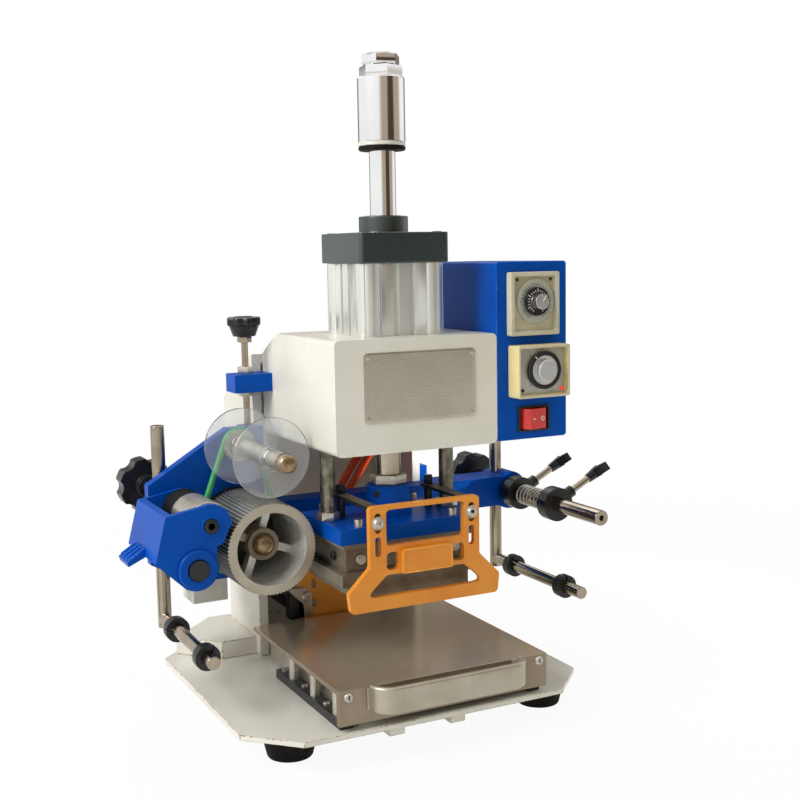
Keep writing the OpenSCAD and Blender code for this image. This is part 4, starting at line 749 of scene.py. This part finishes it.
# Guard: arms on black posts, the sheet with a rim round its pad, and screws
ARM_LOW, GUARD_FRONT, GUARD_SCREW, THUMB_SCREW = 219.9, -9, (47, 210), (46, 72)
PAD_HALF, PAD_LOW, PAD_TOP, PAD_FRONT, PAD_RIM = 25, 163, 185, -13.6, 1.4
softened("guard_arms", 0.4, [TARNISHED, BLACK_STEEL], choose=lambda p: int(p.z < ARM_LOW and p.y > 20))
softened("safety_guard", 1.4, ORANGE, ORANGE_EDGE_WEAR_AND_SHEEN, segments=3, corner=4)
# The pad's rim takes the lighter edge orange, a painted highlight
made("guard_pad_rim", [(block, (x0, PAD_FRONT, z0), (x1, PAD_FRONT + 1, z1), 0.35) for x0, x1, z0, z1 in (
    (-PAD_HALF, PAD_HALF, PAD_LOW, PAD_LOW + PAD_RIM), (-PAD_HALF, PAD_HALF, PAD_TOP - PAD_RIM, PAD_TOP),
    (-PAD_HALF, PAD_RIM - PAD_HALF, PAD_LOW, PAD_TOP), (PAD_HALF - PAD_RIM, PAD_HALF, PAD_LOW, PAD_TOP))],
     ORANGE_EDGE_WEAR_AND_SHEEN, "press")
made("guard_screws", [shape for s in (-1, 1) for shape in (
    (ring, 2.6, 6, (s * GUARD_SCREW[0], GUARD_FRONT, GUARD_SCREW[1]), FRONT, 0.9),
    (screw, 5, (s * GUARD_SCREW[0], GUARD_FRONT - 0.8, GUARD_SCREW[1]), FRONT, 2.4, "cross"))],
     STEEL, "press")
made("guard_thumb_screws", [shape for s in (-1, 1) for shape in (
    (ring, 2, 5, (s * THUMB_SCREW[0], THUMB_SCREW[1], 223), UP, 1),
    (lobed, 4.2, 12, 0.5, (s * THUMB_SCREW[0], THUMB_SCREW[1], 224), UP, 7.5, 0.6))],
     PHENOLIC, "press")


# Worktable

APRON_Y, HANDLE_END = -45, 72
table_top = on_machine(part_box("table_plate")[1]).z
# The table's folded sides take the darker sheet, a painted shade
softened("table_plate", 0.5, [STAINLESS, STAINLESS_SIDES_PAINTED_SHADE], choose=lambda p: int(p.z < table_top - 0.2))
softened("table_slides", 0.5, STEEL)
softened("table_handle", 2.8, CAST, segments=5)
made("apron_screws", [(screw, 4.2, (s * 95, APRON_Y, 73.5), FRONT, 1.8, "cross") for s in (-1, 1)],
     STEEL, "worktable")
made("handle_feet", [(block, (s * HANDLE_END - 6, APRON_Y - 1.5, 60), (s * HANDLE_END + 6, APRON_Y, 79), 0.6)
                     for s in (-1, 1)], CAST, "worktable")


# Foil feed on the left, with its turning axes in x and z

ROLLER, TAKE_UP, PIVOT, PINCH = (-121.5, 183), (-119.5, 265.5), (-190.6, 173.7), (-177.39, 210.74)
ARM_FRONT, AXLE_REACH = 149, 10
softened("left_arm", 1.0, [BLUE, BLACK_STEEL], BLUE_EDGE_WEAR_AND_SHEEN,
         choose=lambda p: int(p.y < ARM_FRONT and abs(p.x - PIVOT[0]) < AXLE_REACH
                              and abs(p.z - PIVOT[1]) < AXLE_REACH))
softened("feed_motor", 1.5, [NYLON, STEEL], choose=lambda p: int(p.y > 196.5))
made("arm_bearings", [(ring, 8.1, 13, over(TAKE_UP, 150), FRONT, 2),
                      (ring, 8.1, 13, over(ROLLER, 162), BACK, 1.51)], STEEL, "feed_frame")

# Round belt between the two pulleys
DRIVE_R, DRIVE_STEPS, TAKE_R, TAKE_STEPS, BELT_Y, BELT_R = 41, 48, 14, 24, 143, 3
span = Vector((TAKE_UP[0] - ROLLER[0], TAKE_UP[1] - ROLLER[1]))
lean = asin((DRIVE_R - TAKE_R) / span.length)
swing = atan2(span.y, span.x) - pi / 2
loop = [(TAKE_UP, TAKE_R, swing + lean + k / TAKE_STEPS * (pi - 2 * lean)) for k in range(TAKE_STEPS + 1)]
loop += [(ROLLER, DRIVE_R, swing + pi - lean + k / DRIVE_STEPS * (pi + 2 * lean)) for k in range(DRIVE_STEPS + 1)]
wire("drive_belt_loop", [at(*over(c, BELT_Y, r * cos(a), r * sin(a))) for c, r, a in loop], BELT_R, BELT,
     "feed_frame", ["drive_belt"], closed=True)

# Height screw with its hand knob and lock nut
KNOB_LOW, KNOB_RIM = 367, 377
made("height_screw_rod", [(bar, 3.2, (*HEIGHT_SCREW, 266), UP, 104),
                          (hex_nut, 7, (*HEIGHT_SCREW, KNOB_LOW - 6), UP, 6)],
     NICKEL, "height_screw_body", ["height_screw"])
made("height_screw_knob", [(turned, [(0, KNOB_LOW), (10.6, KNOB_LOW), (11, KNOB_LOW + 0.6), (14.4, KNOB_RIM),
                                     (0, KNOB_RIM + 0.2)], (*HEIGHT_SCREW, 0), UP),
                           (lobed, 16.5, 8, 2.6, (*HEIGHT_SCREW, KNOB_RIM), UP, 8.2, 1.6),
                           (turned, [(9, KNOB_RIM + 8), (8.4, KNOB_RIM + 8.9), (0, KNOB_RIM + 9)],
                            (*HEIGHT_SCREW, 0), UP)],
     PHENOLIC, "height_screw_body", ["height_screw"])

# Feed roller: each flute is bright steel on one flank, a painted highlight, and black on the other, painted shade
FLUTES, ROLLER_RIM, HUB_R, BORE_R = 76, 54.6, 15, 36


def roller_finish(p):
    """The finish of a feed roller's face: rim and hub, bore and web, or a flute's flank, painted lit and painted
    shaded in turn.
    """
    across = Vector((p.x - ROLLER[0], p.z - ROLLER[1]))
    if p.y < ROLLER_RIM or across.length < HUB_R:
        return 1
    if across.length < BORE_R:
        return 2
    # Flanks by turns: bright steel is a painted highlight, black steel a painted shade
    return 0 if int(degrees(atan2(across.y, across.x)) % 360 / 180 * FLUTES) % 2 == 0 else 3


softened("feed_roller", 0, [STEEL, CAST, BORED, BLACK_STEEL], smooth=12, choose=roller_finish)

# The domed end of its shaft with a washer, deep in the bore
SHAFT_DOME = [(10.4, 0), (10.4, 1.5), (9.8, 4), (8, 6.5), (5, 8.4), (0, 9.2)]
made("feed_roller_washer", [(ring, 8.2, 15, over(ROLLER, 79), FRONT, 2)], TARNISHED, "feed_roll")
made("feed_roller_end", [(turned, SHAFT_DOME, over(ROLLER, 77.5), FRONT)], BRASS, "feed_roll")
softened("drive_pulley", 0.4, PHENOLIC)

# Take-up: shaft with a domed end, clear discs with hubs
PULLEY_FRONT, PULLEY_BACK = 138, 148
BOLT_DOME = [(8, 0), (8, 0.8), (7.2, 2), (5.4, 3.2), (0, 3.8)]
# A disc's outline as radius and depth behind its front
DISC = [(8.05, -4), (11.6, -4), (12, -3.6), (12, 0), (35.6, 0), (36, 0.4), (36, 2.6), (35.6, 3), (8.05, 3),
        (8.05, -4)]
softened("take_up_shaft", 0.8, [STEEL, NYLON], choose=lambda p: int(PULLEY_FRONT < p.y < PULLEY_BACK))
made("take_up_bolt_end", [(turned, BOLT_DOME, over(TAKE_UP, 15.2), FRONT),
                          (ring, 8.05, 8.9, over(TAKE_UP, 24), FRONT, 1.6, 0.3)], BRASS, "take_up")
made("spool_discs_clear", [(turned, DISC, over(TAKE_UP, y), BACK, FINE_SIDES) for y in (133, 54)],
     ACRYLIC, "take_up", ["spool_discs"])

# Pinch housing, its screws and roller
PINCH_FACE, PINCH_R, PINCH_BORE, BRIGHT_SHARE = 54, 20, 6.1, 0.62
LEVER_RIB = [(-227.4, 187.2), (-228.2, 189.3), (-241, 181.2), (-241.6, 178.6)]
softened("pinch_housing", 1.0, BLUE, BLUE_EDGE_WEAR_AND_SHEEN)
made("pinch_bosses", [(ring, 10, 18, over(PIVOT, PINCH_FACE), FRONT, 3.5, 1.4),
                      (ring, 7, 9.5, over(PINCH, PINCH_FACE), FRONT, 1.2, 0.5)], BLUE, "pinch_arm")
made("pinch_screw", [(screw, 6.4, over(PINCH, PINCH_FACE), FRONT, 2.5)], BLACK_STEEL, "pinch_arm")
# The lever's ribs take the lighter edge blue, a painted highlight along them
made("lever_ribs", [(sheet, [LEVER_RIB], y, 2, 0.3) for y in (90.2, 99.8, 109.2, 118.8)], BLUE_EDGE_WEAR_AND_SHEEN, "pinch_arm")
pinch_front, pinch_back = (on_machine(p).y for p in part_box("pinch_roller"))
pinch_split = pinch_front + BRIGHT_SHARE * (pinch_back - pinch_front)
made("pinch_roller_sleeve", [(ring, PINCH_BORE, PINCH_R, over(PINCH, pinch_split), FRONT,
                              pinch_split - pinch_front, 0.8)],
     STEEL, "pinch_roll", ["pinch_roller"])
made("pinch_roller_tyre", [(ring, PINCH_BORE, PINCH_R - 0.6, over(PINCH, pinch_split), BACK,
                            pinch_back - pinch_split, 0.8)],
     RUBBER, "pinch_roll", ["pinch_roller"])


# Foil unwind on the right

UNWIND, T_RISE, T_GRIP = (187, 189), radians(28), 46
SPRING_R, SPRING_FRONT, SPRING_LENGTH, COILS, COIL_STEPS, SPRING_WIRE_R = 9.3, 73.3, 51.4, 8, 28, 1.2
softened("unwind_shaft", 0.8, NICKEL)
softened("unwind_collars", 1.2, PHENOLIC)
helix = [at(*over(UNWIND, SPRING_FRONT + SPRING_LENGTH * k / (COILS * COIL_STEPS),
                  SPRING_R * cos(2 * pi * k / COIL_STEPS), SPRING_R * sin(2 * pi * k / COIL_STEPS)))
         for k in range(COILS * COIL_STEPS + 1)]
wire("brake_spring", helix, SPRING_WIRE_R, STEEL, "unwind", ["unwind_spring"])
t_out = Vector((cos(T_RISE), 0, sin(T_RISE)))
for node in ("t_screw_front", "t_screw_rear"):
    softened(node, 1.0, [PHENOLIC, NICKEL],
             choose=lambda p: int((p.x - UNWIND[0]) * t_out.x + (p.z - UNWIND[1]) * t_out.z < T_GRIP))


# Foil guides, their collars and star knobs

STAR_FRONT = 207.9
for node in ("left_guide_rod", "right_guide_rod"):
    softened(node, 0.8, NICKEL)
for node in ("left_collar_front", "left_collar_rear", "right_collar_front", "right_collar_rear"):
    softened(node, 0.8, BLACK_STEEL)
for node in ("left_star_knob", "right_star_knob"):
    softened(node, 1.6, [PHENOLIC, STEEL], choose=lambda p: int(p.y < STAR_FRONT), segments=3)


# Stage: a pale floor, a white surround and soft lamps

WHITE_LIGHT = (1, 1, 1, 1)
# The floor's half side in metres, its own glow near the machine and in mirrors, and where its shade ends
FLOOR_HALF, NEAR_GLOW, MIRROR_GLOW, SHADE_NEAR, SHADE_FAR = 6, 0.93, 0.5, 0.35, 1.3
floor_material = bpy.data.materials.new("pale_floor")
tree = bare_tree(floor_material)
ray = add(tree, "ShaderNodeLightPath").outputs
paper = add(tree, "ShaderNodeBsdfDiffuse", {"Color": linear("#f4f4f2")})
glow = add(tree, "ShaderNodeEmission", {"Color": WHITE_LIGHT, "Strength": 1.0})
seen = reckon(tree, "MULTIPLY_ADD", ray["Is Glossy Ray"], MIRROR_GLOW, ray["Is Camera Ray"])
place = add(tree, "ShaderNodeTexCoord").outputs["Object"]
away = add(tree, "ShaderNodeVectorMath", {0: place}, operation="LENGTH").outputs["Value"]
share = reckon(tree, "MULTIPLY", seen, ramp(tree, away, SHADE_NEAR, SHADE_FAR, NEAR_GLOW))
blend = add(tree, "ShaderNodeMixShader", {0: share, 1: paper.outputs[0], 2: glow.outputs[0]})
add(tree, "ShaderNodeOutputMaterial", {"Surface": blend.outputs[0]})
bm = bmesh.new()
bmesh.ops.create_grid(bm, x_segments=4, y_segments=4, size=FLOOR_HALF)
floor_mesh = bpy.data.meshes.new("floor")
bm.to_mesh(floor_mesh)
bm.free()
floor_mesh.materials.append(floor_material)
floor = bpy.data.objects.new("floor", floor_mesh)
bpy.context.scene.collection.objects.link(floor)

# Bright metal mirrors a white room: a brown wall ahead with a dark place in it, and a dull wall behind.
# Each has its direction, the span over which it sets in, and its colour
AHEAD, BEHIND = (0.34, -0.93, -0.05), (0.44, 0.89, 0.05)
WALLS = ((AHEAD, 0.5, 0.72, "#b3a392"), (AHEAD, 0.93, 0.965, "#4a4034"), (BEHIND, 0.7, 0.86, "#857c74"))
world = bpy.data.worlds.new("studio")
bpy.context.scene.world = world
tree = bare_tree(world)
ray = add(tree, "ShaderNodeLightPath").outputs
way = add(tree, "ShaderNodeTexCoord").outputs["Generated"]
room = WHITE_LIGHT
for direction, low, high, colour in WALLS:
    toward = add(tree, "ShaderNodeVectorMath", {0: way, 1: Vector(direction).normalized()},
                 operation="DOT_PRODUCT").outputs["Value"]
    room = tinted(tree, ramp(tree, toward, low, high), room, linear(colour))
soft = add(tree, "ShaderNodeBackground", {"Color": linear("#f7f5ea"), "Strength": 0.47})
mirrored = add(tree, "ShaderNodeBackground", {"Color": room, "Strength": 1.0})
white = add(tree, "ShaderNodeBackground", {"Color": WHITE_LIGHT, "Strength": 1.0})
seen = reckon(tree, "MAXIMUM", ray["Is Camera Ray"], ray["Is Transmission Ray"])
lit = add(tree, "ShaderNodeMixShader", {0: ray["Is Glossy Ray"], 1: soft.outputs[0], 2: mirrored.outputs[0]})
both = add(tree, "ShaderNodeMixShader", {0: seen, 1: lit.outputs[0], 2: white.outputs[0]})
add(tree, "ShaderNodeOutputWorld", {"Surface": both.outputs[0]})


def aimed(name, kind, power, place, target, mirrored):
    """A lamp at a place, aimed at a target. Only a mirrored one shows in bright metal."""
    data = bpy.data.lights.new(name, kind)
    data.energy = power
    lamp = bpy.data.objects.new(name, data)
    aim = at(*target) - at(*place)
    lamp.matrix_world = Matrix.Translation(at(*place)) @ aim.to_track_quat("-Z", "Y").to_matrix().to_4x4()
    lamp.visible_glossy = mirrored
    bpy.context.scene.collection.objects.link(lamp)
    return data


MACHINE_MID = (0, 80, 280)
for name, power, place, size, mirrored in (
        ("key_lamp", 40, (-1750, -150, 1500), 1.1, True), ("fill_lamp", 4.2, (250, -1850, 1400), 1.2, False),
        ("rear_lamp", 7, (500, 1500, 1700), 1.2, True), ("side_lamp", 1.6, (700, 150, 250), 0.3, False)):
    aimed(name, "AREA", power, place, MACHINE_MID, mirrored).size = size

# A narrow lamp that reaches the wall behind the press
recess_lamp = aimed("recess_lamp", "SPOT", 46, (640, -140, 246), (10, 230, 232), False)
recess_lamp.spot_size = radians(7.5)
recess_lamp.spot_blend = 0.6
recess_lamp.shadow_soft_size = 0.03

bpy.context.view_layer.update()
